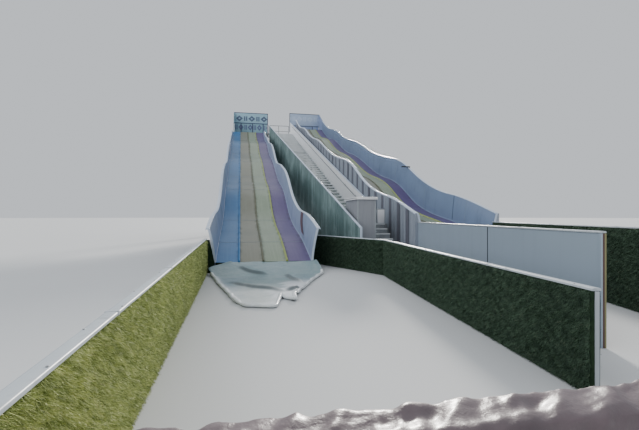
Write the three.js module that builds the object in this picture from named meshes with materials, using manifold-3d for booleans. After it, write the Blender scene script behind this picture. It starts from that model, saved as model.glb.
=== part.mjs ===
// A dry fairground wave slide: two four-lane chutes with a stair tower between them, low turf walls round
// the run-outs and a landing mat at each lip. Millimetres, +Z up, +Y up the slides, +X to the right.
import * as THREE from "three";
import { mergeVertices } from "three/addons/utils/BufferGeometryUtils.js";
import Module from "manifold-3d";

const wasm = await Module();
wasm.setup();

// Clearance between pieces that touch.
const SEAT = 0.3;

// Lanes
const LANE_COUNT = 4;
const LANE_WIDTH = 720;
const LANE_THICKNESS = 60;
const LANE_STATIONS = 32;
// Stations where one bolted section of the lanes ends and the next begins, each in a trough.
const LANE_JOINTS = [0, 6, 14, 22, LANE_STATIONS];
const RIDGE_HEIGHT = 45;
const RIDGE_WIDTH = 50;
const RIDGE_FOOT = 70;
const LANE_LEFT = -728;
const LIP_Y = 12160;
const TOP_Y = 38700;
const PLATFORM_Z = 9650;

// Side walls and the skirts that hang below their trim
const WALL_THICKNESS = 60;
const EDGE_BEAM_DEPTH = 300;
const WALL_FOOT = 20;
const TRIM_WIDTH = 110;
const TRIM_DEPTH = 50;
const SKIRT_THICKNESS = 30;
const SKIRT_DEPTH = 2200;
const LEFT_SKIRTS_START = 2;

// The right slide has narrower lanes, stands on higher ground and is turned a little towards the stair.
const RIGHT_LANE_WIDTH = 630;
const RIGHT_SHIFT_X = 6578;
const RIGHT_LIFT = 500;
const RIGHT_TURN = THREE.MathUtils.degToRad(1);

// Trestles under the lanes
const TRESTLE_Y = [17300, 24300, 31300];
const TRESTLE_LEG = 120;
const TRESTLE_HEAD = 180;
const BRACE = 60;

// Stair between the slides
const STAIR_WALL_FOOT = { x: 3787, y: 12300, top: 1320 };
const STAIR_WALL_HEAD = { x: 2692, y: 38690, top: 10425 };
const STAIR_WALL_THICKNESS = 40;
const STAIR_CAP_WIDTH = 80;
const STAIR_CAP_DEPTH = 45;
const PARAPET_FOOT = { x: 5518, y: 17200, top: 2470 };
const PARAPET_HEAD = { x: 4884, y: 39900, top: 11050 };
const PARAPET_DEPTH = 1700;
const FLIGHTS = 4;
const RISERS_PER_FLIGHT = 11;
const TREAD_DEPTH = 430;
const TREAD_THICKNESS = 40;
const STRINGER_THICKNESS = 60;
const STRINGER_DEPTH = 260;
const STAIR_TRESTLE_Y = [24000, 31500];
const STAIR_TRESTLE_INSET = 20;
const LANDING = { yFront: 14500, yBack: 17600, z: 1380, thickness: 80 };
const ENTRY_STEPS = { xLeft: 4600, xRight: 5300, yFront: 12300, risers: 8 };

// Ticket kiosk beside the entry steps
const KIOSK = { xLeft: 3880, xRight: 4520, yFront: 13000, height: 2250, wall: 40 };
const KIOSK_WINDOW = { yFront: 13350, yBack: 14150, sill: 1150, head: 1950 };
const KIOSK_HATCH = { xLeft: 3960, xRight: 4440, head: 1250 };
const KIOSK_ROOF = { overhang: 60, thickness: 60 };
const ENTRY_PANEL = { xLeft: 5080, xRight: 5420, thickness: 50, top: 1950 };

// Tower under the start platforms
const DECK_THICKNESS = 150;
const DECK_BACK_Y = 40300;
const FRAME_THICKNESS = 120;
const FRAME_FRONT_Y = 38900;
const FRAME_BACK_Y = 40200;
const FRAME_BAYS = 5;
const FRAME_LEG = 120;
const LEFT_DECK_RIGHT = 2560;
const STAIR_DECK_RIGHT = 4840;
const LEFT_FRAMES_X = [-640, 2500, 4640];
const RIGHT_FRAMES_X = [5300, 7780];
const SCREEN_THICKNESS = 60;
const LEFT_SCREEN = { xLeft: -650, xRight: 2690, top: 11900 };
const RIGHT_SCREEN = { xLeft: -1240, xRight: 1852, top: 11570 };
const SIDE_SCREEN_FRONT_RISE = 950;
const GUARD_HEIGHT = 1100;
const GUARD_POST = 50;
const GUARD_INSET = 80;
const GUARD_RIGHT = 4780;
const GUARD_LEFT_GAP = 40;

// Low walls round the run-outs
const LOW_WALL_HEIGHT = 1010;
const RIGHT_LOW_WALL_HEIGHT = 1480;
const LOW_WALL_THICKNESS = 60;
const LOW_CAP_WIDTH = 100;
const LOW_CAP_DEPTH = 35;
const LEFT_WALL_FRONT = { x: -846, y: 1100 };
const LEFT_WALL_BACK = { x: -1006, y: 12150 };
const CENTRE_WALL_BACK_Y = 14440;
const CENTRE_WALL_CORNER_Y = 14310;
const CENTRE_WALL_CORNER = { x: 3980, y: 10700 };
const CENTRE_WALL_FRONT = { x: 3200, y: 3100 };
const WHITE_WALL_BACK = { x: 5700, y: 12156.6 };
const WHITE_WALL_FRONT = { x: 4500, y: 4270 };
const WHITE_WALL_JOINT = { x: 5196, y: 8811 };
const RIGHT_WALL_BACK = { x: 8440, y: 12204.2 };
const RIGHT_WALL_FRONT = { x: 6460, y: 4400 };
const FRONT_WALL = { xRight: 3300, yFront: 1100, yBack: 1340 };
const RETURN_PANEL = { thickness: 40, footX: -745, bend: 280, topX: -890, top: 970 };

// Landing mats: left and right edge at each distance from the origin, from the lip to the near end
const MAT_THICKNESS = 24;
const MAT_LEFT_EDGE = [
  [LIP_Y, -250],
  [11700, -700],
  [11250, -720],
  [10100, -540],
  [8680, -250],
  [7850, -90],
  [7380, 80],
];
const MAT_RIGHT_EDGE = [1960, 2010, 1960, 1800, 1300, 1060, 570];
const LEFT_MAT = { drift: 0, widen: 340, trim: 0 };
const RIGHT_MAT = { drift: 0.21, widen: 0, trim: 300 };

// Materials
const finish = (color, roughness, metalness = 0) =>
  new THREE.MeshStandardMaterial({ color, roughness, metalness });
const MATERIALS = {
  lanes: finish(0x7f99a6, 0.35),
  grp: finish(0x8fa6bd, 0.4),
  ribbed: finish(0x1f4038, 0.6),
  skirt: finish(0x3a4650, 0.6),
  panel: finish(0xb9bfc2, 0.5),
  steel: finish(0x9a9d9e, 0.45, 0.8),
  screen: finish(0x8fc3cf, 0.5),
  turf: finish(0x2c4a1e, 0.95),
  white: finish(0xe8ecf0, 0.45),
  pad: finish(0x8b8f92, 0.5),
  mat: finish(0xb9c3cc, 0.45),
};

const tower = new THREE.Group();

/** Adds a named mesh to a group. */
function add(name, geometry, material, group = tower) {
  const mesh = new THREE.Mesh(geometry, material);
  mesh.name = name;
  group.add(mesh);
  return mesh;
}

/** A box between two corners. */
function block(low, high) {
  const size = high.map((value, k) => value - low[k]);
  const geometry = new THREE.BoxGeometry(...size);
  return geometry.translate(...low.map((value, k) => value + size[k] / 2));
}

/** A square bar between two points, with its sides upright. */
function bar(from, to, width) {
  const start = new THREE.Vector3(...from);
  const end = new THREE.Vector3(...to);
  const frame = new THREE.Matrix4().lookAt(start, end, new THREE.Vector3(1, 0, 0));
  const geometry = new THREE.BoxGeometry(width, width, start.distanceTo(end));
  const middle = start.clone().add(end).multiplyScalar(0.5);
  return geometry.applyMatrix4(frame).translate(middle.x, middle.y, middle.z);
}

/** A closed solid through upright rings of points, with flat ends. */
function loft(given) {
  const spread = new THREE.Box3().setFromPoints(given[0]).getSize(new THREE.Vector3());
  const across = spread.x > spread.y ? "x" : "y";
  const flat = (ring) => ring.map((p) => new THREE.Vector2(p[across], p.z));
  const turned = THREE.ShapeUtils.isClockWise(flat(given[0]));
  const rings = given.map((ring) => (turned ? [...ring].reverse() : ring));
  const count = rings[0].length;
  const caps = THREE.ShapeUtils.triangulateShape(flat(rings[0]), []);
  const last = (rings.length - 1) * count;
  const index = [];
  caps.forEach(([a, b, c]) => index.push(a, c, b, last + a, last + b, last + c));
  for (let r = 0; r < rings.length - 1; r++) {
    for (let k = 0; k < count; k++) {
      const near = r * count + k;
      const next = r * count + ((k + 1) % count);
      index.push(near, next, next + count, near, next + count, near + count);
    }
  }
  const geometry = new THREE.BufferGeometry().setFromPoints(rings.flat());
  geometry.setIndex(index);
  return signedVolume(geometry) < 0 ? reversed(geometry) : geometry;
}

function signedVolume(geometry) {
  const position = geometry.getAttribute("position");
  const corners = [0, 1, 2].map(() => new THREE.Vector3());
  let sum = 0;
  for (let i = 0; i < geometry.index.count; i += 3) {
    corners.forEach((corner, k) => corner.fromBufferAttribute(position, geometry.index.getX(i + k)));
    sum += corners[0].dot(corners[1].cross(corners[2]));
  }
  return sum / 6;
}

function reversed(geometry) {
  const order = Array.from(geometry.index.array);
  for (let i = 0; i < order.length; i += 3) [order[i + 1], order[i + 2]] = [order[i + 2], order[i + 1]];
  return geometry.setIndex(order);
}

/** A manifold solid of a closed geometry. */
function solid(geometry) {
  const bare = geometry.clone();
  bare.deleteAttribute("normal");
  bare.deleteAttribute("uv");
  const merged = mergeVertices(bare, 1e-3);
  const vertProperties = merged.getAttribute("position").array;
  const triVerts = new Uint32Array(merged.index.array);
  return new wasm.Manifold(new wasm.Mesh({ numProp: 3, vertProperties, triVerts }));
}

function geometryOf(made) {
  const mesh = made.getMesh();
  const position = new THREE.BufferAttribute(new Float32Array(mesh.vertProperties), mesh.numProp);
  return new THREE.BufferGeometry()
    .setAttribute("position", position)
    .setIndex(new THREE.BufferAttribute(new Uint32Array(mesh.triVerts), 1));
}

function fuse(geometries) {
  return geometryOf(geometries.map(solid).reduce((whole, next) => whole.add(next)));
}

function cut(geometry, tools) {
  return geometryOf(tools.map(solid).reduce((whole, tool) => whole.subtract(tool), solid(geometry)));
}

/** Smooth curve through knots of [y, value, slope], read at y. */
function curve(knots) {
  return (y) => {
    let k = 0;
    while (k < knots.length - 2 && y > knots[k + 1][0]) k++;
    const [y0, z0, m0] = knots[k];
    const [y1, z1, m1] = knots[k + 1];
    const span = y1 - y0;
    const t = THREE.MathUtils.clamp((y - y0) / span, 0, 1);
    const rise = t * t * (3 - 2 * t);
    const bow = t * (1 - t);
    return z0 + (z1 - z0) * rise + span * bow * (m0 * (1 - t) - m1 * t);
  };
}

// Four waves: each knot is a crest or the middle of a drop.
const laneHeight = curve([
  [12160, 300, 0.32],
  [14900, 1010, 0.17],
  [18800, 2230, 0.6],
  [21900, 3400, 0.2],
  [25600, 4720, 0.42],
  [29000, 5870, 0.24],
  [32600, 7300, 0.5],
  [35300, 8180, 0.2],
  [38000, 9270, 0.5],
  [38700, PLATFORM_Z, 0.5],
]);

// Height of the side walls over the lanes: full at the crests, dipping on the drops.
const LEFT_WALL_RISE = curve([
  [12160, 1000, 0],
  [13400, 960, 0],
  [15600, 800, 0],
  [18300, 860, 0],
  [22600, 940, 0],
  [26200, 330, 0],
  [29800, 880, 0],
  [33400, 300, 0],
  [35600, 450, 0],
  [37000, 320, 0],
  [38700, 150, 0],
]);
const RIGHT_WALL_RISE = curve([
  [12160, 960, 0],
  [15000, 980, 0],
  [18600, 1150, 0],
  [22000, 1050, 0],
  [25600, 920, 0],
  [29000, 1000, 0],
  [33000, 860, 0],
  [36500, 880, 0],
  [38700, 900, 0],
]);
const RIGHT_OUTER_WALL_RISE = curve([
  [12160, 960, 0],
  [15000, 1050, 0],
  [18600, 1300, 0],
  [22000, 1180, 0],
  [25600, 980, 0],
  [29000, 1000, 0],
  [33000, 860, 0],
  [36500, 880, 0],
  [38700, 900, 0],
]);
const wallFlare = curve([
  [12160, 170, 0],
  [15000, 90, 0],
  [22600, 90, 0],
  [38700, 30, 0],
]);

const slideRight = (laneWidth) => LANE_LEFT + LANE_COUNT * laneWidth;

/** Stations down a slide, from the lip to the platform. */
function stations() {
  return Array.from(
    { length: LANE_STATIONS + 1 },
    (_, k) => LIP_Y + ((TOP_Y - LIP_Y) * k) / LANE_STATIONS,
  );
}

/** The section of a slide piece carried along the lane's height. */
function alongSlide(sectionAt, marks = stations()) {
  return loft(
    marks.map((y) => sectionAt(y).map(([x, rise]) => new THREE.Vector3(x, y, laneHeight(y) + rise))),
  );
}

/** All four lanes between two joints, with a ridge on the right of each lane but the last. */
function laneSection(laneWidth, firstStation, lastStation) {
  const marks = stations().slice(firstStation, lastStation + 1);
  if (lastStation < LANE_STATIONS) marks[marks.length - 1] -= SEAT;
  const right = slideRight(laneWidth);
  const outline = [
    [LANE_LEFT, -LANE_THICKNESS],
    [right, -LANE_THICKNESS],
    [right, 0],
  ];
  for (let lane = LANE_COUNT - 1; lane > 0; lane--) {
    const edge = LANE_LEFT + lane * laneWidth;
    outline.push([edge, 0], [edge, RIDGE_HEIGHT], [edge - RIDGE_WIDTH, RIDGE_HEIGHT], [edge - RIDGE_FOOT, 0]);
  }
  outline.push([LANE_LEFT, 0]);
  return alongSlide(() => outline, marks);
}

/** A side wall with its edge beam below and a flared trim on top; side is -1 on the left, 1 on the right. */
function sideWall(edge, side, rise) {
  return alongSlide((y) => {
    const top = rise(y);
    const lean = wallFlare(y);
    const outline = [
      [SEAT, -EDGE_BEAM_DEPTH],
      [SEAT, WALL_FOOT],
      [lean, top],
      [lean + TRIM_WIDTH, top],
      [lean + TRIM_WIDTH, top - TRIM_DEPTH],
      [lean + WALL_THICKNESS, top - TRIM_DEPTH],
      [SEAT + WALL_THICKNESS, WALL_FOOT],
      [SEAT + WALL_THICKNESS, -EDGE_BEAM_DEPTH],
    ];
    return outline.map(([out, up]) => [edge + side * out, up]);
  });
}

/** A skirt hung from the trim's outer edge, down to the floor or to its own depth. */
function skirt(edge, side, rise, floor, firstStation) {
  return alongSlide((y) => {
    const top = rise(y) - TRIM_DEPTH - SEAT;
    const bottom = Math.max(floor - laneHeight(y), top - SKIRT_DEPTH);
    const outer = wallFlare(y) + TRIM_WIDTH;
    const inner = outer - SKIRT_THICKNESS;
    return [
      [edge + side * inner, bottom],
      [edge + side * inner, top],
      [edge + side * outer, top],
      [edge + side * outer, bottom],
    ];
  }, stations().slice(firstStation));
}

/** A curve's value at y as the pieces have it, straight between stations. */
function faceted(value, y) {
  const marks = stations();
  const k = marks.findIndex((mark) => mark > y) - 1;
  const share = (y - marks[k]) / (marks[k + 1] - marks[k]);
  return THREE.MathUtils.lerp(value(marks[k]), value(marks[k + 1]), share);
}

/** Portal frame with two braced bays; its head lies flat under a sloping line. */
function trestle(y, xLeft, xRight, line, floor) {
  const half = TRESTLE_LEG / 2;
  const head = [y - half, y + half].map((at) => [
    new THREE.Vector3(xLeft, at, line(at) - TRESTLE_HEAD),
    new THREE.Vector3(xRight, at, line(at) - TRESTLE_HEAD),
    new THREE.Vector3(xRight, at, line(at)),
    new THREE.Vector3(xLeft, at, line(at)),
  ]);
  const legTop = line(y) - TRESTLE_HEAD / 2;
  const legs = [xLeft, xRight - TRESTLE_LEG].map((x) =>
    block([x, y - half, floor], [x + TRESTLE_LEG, y + half, legTop]),
  );
  const middle = (floor + legTop) / 2;
  const low = floor + TRESTLE_LEG;
  const high = legTop - TRESTLE_HEAD;
  const inLeft = xLeft + half;
  const inRight = xRight - half;
  const braces = [
    [[inLeft, low], [inRight, middle]],
    [[inRight, low], [inLeft, middle]],
    [[inLeft, middle], [inRight, high]],
    [[inRight, middle], [inLeft, high]],
    [[inLeft, middle], [inRight, middle]],
  ].map(([a, b]) => bar([a[0], y, a[1]], [b[0], y, b[1]], BRACE));
  return fuse([loft(head), ...legs, ...braces]);
}

/** One slide: lanes, side walls, skirts, the riser under its lip and its trestles. */
function buildSlide(prefix, group, { laneWidth, rises, floor, skirtsStart }) {
  LANE_JOINTS.slice(1).forEach((last, k) => {
    add(prefix + "_lanes_" + (k + 1), laneSection(laneWidth, LANE_JOINTS[k], last), MATERIALS.lanes, group);
  });
  const right = slideRight(laneWidth);
  const sides = [
    ["left", LANE_LEFT, -1],
    ["right", right, 1],
  ];
  sides.forEach(([side, edge, sign], k) => {
    const hung = skirt(edge, sign, rises[k], floor, skirtsStart);
    add(prefix + "_slide_" + side + "_wall", sideWall(edge, sign, rises[k]), MATERIALS.grp, group);
    add(prefix + "_slide_" + side + "_skirt", hung, MATERIALS.skirt, group);
  });
  const riserTop = laneHeight(LIP_Y) - LANE_THICKNESS - SEAT;
  const riser = block([LANE_LEFT + SEAT, LIP_Y, floor], [right - SEAT, LIP_Y + 40, riserTop]);
  add(prefix + "_lip_riser", riser, MATERIALS.turf, group);
  TRESTLE_Y.forEach((y, k) => {
    const line = (at) => faceted(laneHeight, at) - EDGE_BEAM_DEPTH - SEAT;
    const frame = trestle(y, LANE_LEFT - WALL_THICKNESS, right + WALL_THICKNESS, line, floor);
    add(prefix + "_trestle_" + (k + 1), frame, MATERIALS.steel, group);
  });
}

/** Direction across a plan line, to its right. */
function acrossLine(from, to) {
  const along = new THREE.Vector2(to.x - from.x, to.y - from.y).normalize();
  return new THREE.Vector2(along.y, -along.x);
}

/** A straight wall between two plan points, with a cap wider than the wall; mitres are its end directions. */
function cappedWall(from, to, bottoms, tops, thickness, capWidth, capDepth, mitres) {
  const square = acrossLine(from, to);
  const rings = [from, to].map((at, end) => {
    const across = mitres ? mitres[end] : square;
    const shoulder = tops[end] - capDepth;
    const outline = [
      [-thickness / 2, bottoms[end]],
      [thickness / 2, bottoms[end]],
      [thickness / 2, shoulder],
      [capWidth / 2, shoulder],
      [capWidth / 2, tops[end]],
      [-capWidth / 2, tops[end]],
      [-capWidth / 2, shoulder],
      [-thickness / 2, shoulder],
    ];
    return outline.map(([u, z]) => new THREE.Vector3(at.x + across.x * u, at.y + across.y * u, z));
  });
  return loft(rings);
}

/** Low walls through plan points, one geometry a bay, mitred where two bays meet; flush is the axis that
 * the first end's face is square to, where it meets a slide. */
function lowWalls(points, height, flush) {
  const squares = points.slice(1).map((to, k) => acrossLine(points[k], to));
  const mitreAt = (k) => {
    const before = squares[Math.max(k - 1, 0)];
    const after = squares[Math.min(k, squares.length - 1)];
    if (k === 0 && flush === "x") return new THREE.Vector2(0, 1 / after.y);
    if (k === 0 && flush === "y") return new THREE.Vector2(1 / after.x, 0);
    return before.clone().add(after).divideScalar(1 + before.dot(after));
  };
  return squares.map((square, k) => {
    const back = new THREE.Vector2(square.y, -square.x).multiplyScalar(k ? SEAT : 0);
    const from = { x: points[k].x - back.x, y: points[k].y - back.y };
    const levels = [[0, 0], [height, height]];
    const sizes = [LOW_WALL_THICKNESS, LOW_CAP_WIDTH, LOW_CAP_DEPTH];
    return cappedWall(from, points[k + 1], ...levels, ...sizes, [mitreAt(k), mitreAt(k + 1)]);
  });
}

/** X of a straight stair-side wall's centre plane at y. */
function planeX(foot, head, y) {
  return foot.x + ((head.x - foot.x) * (y - foot.y)) / (head.y - foot.y);
}

const stairLeft = (y) => planeX(STAIR_WALL_FOOT, STAIR_WALL_HEAD, y) + STAIR_WALL_THICKNESS / 2 + SEAT;
const stairRight = (y) => planeX(PARAPET_FOOT, PARAPET_HEAD, y) - STAIR_WALL_THICKNESS / 2 - SEAT;

/** An open-riser flight: two stringers that follow the side walls, with treads between them. */
function flight(yStart, zStart, going, riser) {
  const yEnd = yStart + going * RISERS_PER_FLIGHT - SEAT;
  const zEnd = zStart + riser * RISERS_PER_FLIGHT;
  const stringer = (xAt) =>
    loft(
      [[yStart, zStart], [yEnd, zEnd]].map(([y, z]) => [
        new THREE.Vector3(xAt(y), y, z - STRINGER_DEPTH),
        new THREE.Vector3(xAt(y) + STRINGER_THICKNESS, y, z - STRINGER_DEPTH),
        new THREE.Vector3(xAt(y) + STRINGER_THICKNESS, y, z),
        new THREE.Vector3(xAt(y), y, z),
      ]),
    );
  const treads = Array.from({ length: RISERS_PER_FLIGHT }, (_, k) => {
    const y = yStart + going * k + (going - TREAD_DEPTH) / 2;
    const z = zStart + riser * (k + 0.5);
    const left = stairLeft(y) + STRINGER_THICKNESS / 2;
    const right = stairRight(y) - STRINGER_THICKNESS / 2;
    return block([left, y, z - TREAD_THICKNESS], [right, y + TREAD_DEPTH, z]);
  });
  return fuse([stringer(stairLeft), stringer((y) => stairRight(y) - STRINGER_THICKNESS), ...treads]);
}

function entrySteps() {
  const { xLeft, xRight, yFront, risers } = ENTRY_STEPS;
  const riser = LANDING.z / risers;
  const going = (LANDING.yFront - yFront) / risers;
  const outline = new THREE.Shape().moveTo(yFront, 0);
  for (let k = 0; k < risers; k++) {
    outline.lineTo(yFront + going * k, riser * (k + 1));
    outline.lineTo(yFront + going * (k + 1) - SEAT, riser * (k + 1));
  }
  outline.lineTo(LANDING.yFront - SEAT, 0);
  const geometry = new THREE.ExtrudeGeometry(outline, { depth: xRight - xLeft, bevelEnabled: false });
  const turned = new THREE.Matrix4().makeBasis(
    new THREE.Vector3(0, 1, 0),
    new THREE.Vector3(0, 0, 1),
    new THREE.Vector3(1, 0, 0),
  );
  return geometry.applyMatrix4(turned).translate(xLeft, 0, 0);
}

function landing() {
  const { yFront, yBack, z, thickness } = LANDING;
  const left = stairLeft(yFront);
  const right = stairRight(yBack);
  const leg = TRESTLE_LEG;
  const deck = block([left, yFront, z - thickness], [right, yBack - SEAT, z]);
  const legs = [left, right - leg].flatMap((x) =>
    [yFront, yBack - SEAT - leg].map((y) => block([x, y, 0], [x + leg, y + leg, z - thickness / 2])),
  );
  return fuse([deck, ...legs]);
}

/** Kiosk walls, open below, with a serving window on the steps' side and a hatch at the back. */
function kioskWalls() {
  const { xLeft, xRight, yFront, height, wall } = KIOSK;
  const yBack = LANDING.yFront - SEAT;
  const shell = block([xLeft, yFront, 0], [xRight, yBack, height]);
  const inside = block([xLeft + wall, yFront + wall, -wall], [xRight - wall, yBack - wall, height + wall]);
  const { yFront: windowFront, yBack: windowBack, sill, head } = KIOSK_WINDOW;
  const serving = block([xRight - 2 * wall, windowFront, sill], [xRight + wall, windowBack, head]);
  const hatch = block(
    [KIOSK_HATCH.xLeft, yBack - 2 * wall, -wall],
    [KIOSK_HATCH.xRight, yBack + wall, KIOSK_HATCH.head],
  );
  return cut(shell, [inside, serving, hatch]);
}

/** A flat braced frame across the tower, standing on the floor. */
function towerFrame(x, top) {
  const bay = (top - FRAME_LEG) / FRAME_BAYS;
  const thin = [x, x + FRAME_THICKNESS];
  const upright = (y) => block([thin[0], y, 0], [thin[1], y + FRAME_LEG, top]);
  const bars = [upright(FRAME_FRONT_Y), upright(FRAME_BACK_Y - FRAME_LEG)];
  for (let k = 0; k <= FRAME_BAYS; k++) {
    const z = bay * k;
    bars.push(block([thin[0], FRAME_FRONT_Y, z], [thin[1], FRAME_BACK_Y, z + FRAME_LEG]));
    if (k < FRAME_BAYS) {
      const ends = k % 2 ? [FRAME_FRONT_Y, FRAME_BACK_Y] : [FRAME_BACK_Y, FRAME_FRONT_Y];
      const inset = FRAME_LEG / 2;
      const centre = x + FRAME_THICKNESS / 2;
      const sides = ends.map((y) => (y === FRAME_FRONT_Y ? y + inset : y - inset));
      bars.push(bar([centre, sides[0], z + inset], [centre, sides[1], z + bay + inset], BRACE));
    }
  }
  return fuse(bars);
}

/** Flat side screen, high at the back and lower towards the lanes. */
function sideScreen(x, floor, top) {
  const back = DECK_BACK_Y - SCREEN_THICKNESS - SEAT;
  const outline = new THREE.Shape()
    .moveTo(TOP_Y + SEAT, floor)
    .lineTo(back, floor)
    .lineTo(back, top)
    .lineTo(TOP_Y + SEAT, floor + SIDE_SCREEN_FRONT_RISE);
  const geometry = new THREE.ExtrudeGeometry(outline, { depth: SCREEN_THICKNESS, bevelEnabled: false });
  const turned = new THREE.Matrix4().makeBasis(
    new THREE.Vector3(0, 1, 0),
    new THREE.Vector3(0, 0, 1),
    new THREE.Vector3(1, 0, 0),
  );
  return geometry.applyMatrix4(turned).translate(x, 0, 0);
}

/** Landing mat: butts against the lip, falls to the floor, tapers and drifts sideways down its run-out. */
function landingMat(floor, { drift, widen, trim }) {
  const lip = laneHeight(LIP_Y);
  const levels = [lip - MAT_THICKNESS, (lip + floor) / 2];
  return loft(
    MAT_LEFT_EDGE.map(([mark, left], k) => {
      const y = k ? mark : mark - SEAT;
      const z = levels[k] ?? floor;
      const right = MAT_RIGHT_EDGE[k] + (k < 3 ? widen : 0) - trim;
      const shift = drift * (y - LIP_Y);
      return [
        new THREE.Vector3(left + shift, y, z),
        new THREE.Vector3(right + shift, y, z),
        new THREE.Vector3(right + shift, y, z + MAT_THICKNESS),
        new THREE.Vector3(left + shift, y, z + MAT_THICKNESS),
      ];
    }),
  );
}

/** Posts and two rails along the back of the stair head. */
function guard(xLeft, xRight, y, z) {
  const size = GUARD_POST;
  const posts = [xLeft, (xLeft + xRight - size) / 2, xRight - size].map((x) =>
    block([x, y, z], [x + size, y + size, z + GUARD_HEIGHT]),
  );
  const rails = [0.5, 1].map((share) =>
    block([xLeft, y, z + GUARD_HEIGHT * share - size], [xRight, y + size, z + GUARD_HEIGHT * share]),
  );
  return fuse([...posts, ...rails]);
}

// Slides
const leftSlide = new THREE.Group();
const rightSlide = new THREE.Group();
tower.add(leftSlide, rightSlide);
buildSlide("left", leftSlide, {
  laneWidth: LANE_WIDTH,
  rises: [LEFT_WALL_RISE, LEFT_WALL_RISE],
  floor: 0,
  skirtsStart: LEFT_SKIRTS_START,
});
buildSlide("right", rightSlide, {
  laneWidth: RIGHT_LANE_WIDTH,
  rises: [RIGHT_WALL_RISE, RIGHT_OUTER_WALL_RISE],
  floor: -RIGHT_LIFT,
  skirtsStart: 0,
});
add("left_landing_mat", landingMat(0, LEFT_MAT), MATERIALS.mat, leftSlide);
add("right_landing_mat", landingMat(-RIGHT_LIFT, RIGHT_MAT), MATERIALS.mat, rightSlide);

// The right group turns about the lip's left corner.
const rightPivot = new THREE.Vector3(LANE_LEFT, LIP_Y, 0);
rightSlide.rotation.z = RIGHT_TURN;
rightSlide.position
  .copy(rightPivot)
  .sub(rightPivot.clone().applyEuler(rightSlide.rotation))
  .add(new THREE.Vector3(RIGHT_SHIFT_X, 0, RIGHT_LIFT));

// Start platforms and screens
const deckTop = PLATFORM_Z;
const deckBottom = PLATFORM_Z - DECK_THICKNESS;
const deckFront = TOP_Y + SEAT;
add(
  "left_start_deck",
  block([LANE_LEFT - WALL_THICKNESS, deckFront, deckBottom], [LEFT_DECK_RIGHT, DECK_BACK_Y, deckTop]),
  MATERIALS.steel,
);
add(
  "stair_head_deck",
  block([LEFT_DECK_RIGHT + SEAT, deckFront, deckBottom], [STAIR_DECK_RIGHT, DECK_BACK_Y, deckTop]),
  MATERIALS.steel,
);
// The right deck reaches the parapet beside the stair head.
rightSlide.updateMatrix();
const parapetCorner = new THREE.Vector3(
  planeX(PARAPET_FOOT, PARAPET_HEAD, TOP_Y) + STAIR_WALL_THICKNESS / 2 + SEAT,
  TOP_Y,
  0,
).applyMatrix4(rightSlide.matrix.clone().invert());
add(
  "right_start_deck",
  block(
    [parapetCorner.x + SEAT, deckFront, deckBottom],
    [slideRight(RIGHT_LANE_WIDTH) + WALL_THICKNESS, DECK_BACK_Y, deckTop],
  ),
  MATERIALS.steel,
  rightSlide,
);
const screenFront = DECK_BACK_Y - SCREEN_THICKNESS;
[
  ["left", leftSlide, LEFT_SCREEN, LEFT_SCREEN.xLeft],
  ["right", rightSlide, RIGHT_SCREEN, RIGHT_SCREEN.xRight - SCREEN_THICKNESS],
].forEach(([side, group, screen, outer]) => {
  const floor = deckTop + SEAT;
  const board = block([screen.xLeft, screenFront, floor], [screen.xRight, DECK_BACK_Y, screen.top]);
  add(side + "_start_screen", board, MATERIALS.screen, group);
  add(side + "_side_screen", sideScreen(outer, floor, screen.top), MATERIALS.screen, group);
});
add(
  "stair_head_guard",
  guard(LEFT_SCREEN.xRight + GUARD_LEFT_GAP, GUARD_RIGHT, DECK_BACK_Y - GUARD_INSET, deckTop + SEAT),
  MATERIALS.steel,
);
[...LEFT_FRAMES_X, ...RIGHT_FRAMES_X].forEach((x, k) => {
  const top = deckBottom + (k < LEFT_FRAMES_X.length ? 0 : RIGHT_LIFT) - SEAT;
  add("tower_frame_" + (k + 1), towerFrame(x, top), MATERIALS.steel);
});

// Stair
add(
  "stair_ribbed_wall",
  cappedWall(
    STAIR_WALL_FOOT,
    STAIR_WALL_HEAD,
    [0, 0],
    [STAIR_WALL_FOOT.top, STAIR_WALL_HEAD.top],
    STAIR_WALL_THICKNESS,
    STAIR_CAP_WIDTH,
    STAIR_CAP_DEPTH,
  ),
  MATERIALS.ribbed,
);
add(
  "stair_parapet",
  cappedWall(
    PARAPET_FOOT,
    PARAPET_HEAD,
    [PARAPET_FOOT.top - PARAPET_DEPTH, PARAPET_HEAD.top - PARAPET_DEPTH],
    [PARAPET_FOOT.top, PARAPET_HEAD.top],
    STAIR_WALL_THICKNESS,
    STAIR_CAP_WIDTH,
    STAIR_CAP_DEPTH,
  ),
  MATERIALS.panel,
);
const going = (TOP_Y - LANDING.yBack) / (FLIGHTS * RISERS_PER_FLIGHT);
const riser = (PLATFORM_Z - LANDING.z) / (FLIGHTS * RISERS_PER_FLIGHT);
for (let k = 0; k < FLIGHTS; k++) {
  const climbed = k * RISERS_PER_FLIGHT;
  const made = flight(LANDING.yBack + climbed * going, LANDING.z + climbed * riser, going, riser);
  add("stair_flight_" + (k + 1), made, MATERIALS.steel);
}
const stringerLine = (y) => LANDING.z + ((y - LANDING.yBack) * riser) / going - STRINGER_DEPTH - SEAT;
STAIR_TRESTLE_Y.forEach((y, k) => {
  const [left, right] = [stairLeft(y) + STAIR_TRESTLE_INSET, stairRight(y) - STAIR_TRESTLE_INSET];
  const frame = trestle(y, left, right, stringerLine, 0);
  add("stair_trestle_" + (k + 1), frame, MATERIALS.steel);
});
add("entry_landing", landing(), MATERIALS.steel);
add("entry_steps", entrySteps(), MATERIALS.steel);
add("kiosk_walls", kioskWalls(), MATERIALS.panel);
add(
  "kiosk_roof",
  block(
    [KIOSK.xLeft - KIOSK_ROOF.overhang, KIOSK.yFront - KIOSK_ROOF.overhang, KIOSK.height + SEAT],
    [
      KIOSK.xRight + KIOSK_ROOF.overhang,
      LANDING.yFront + KIOSK_ROOF.overhang,
      KIOSK.height + KIOSK_ROOF.thickness,
    ],
  ),
  MATERIALS.white,
);
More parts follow.
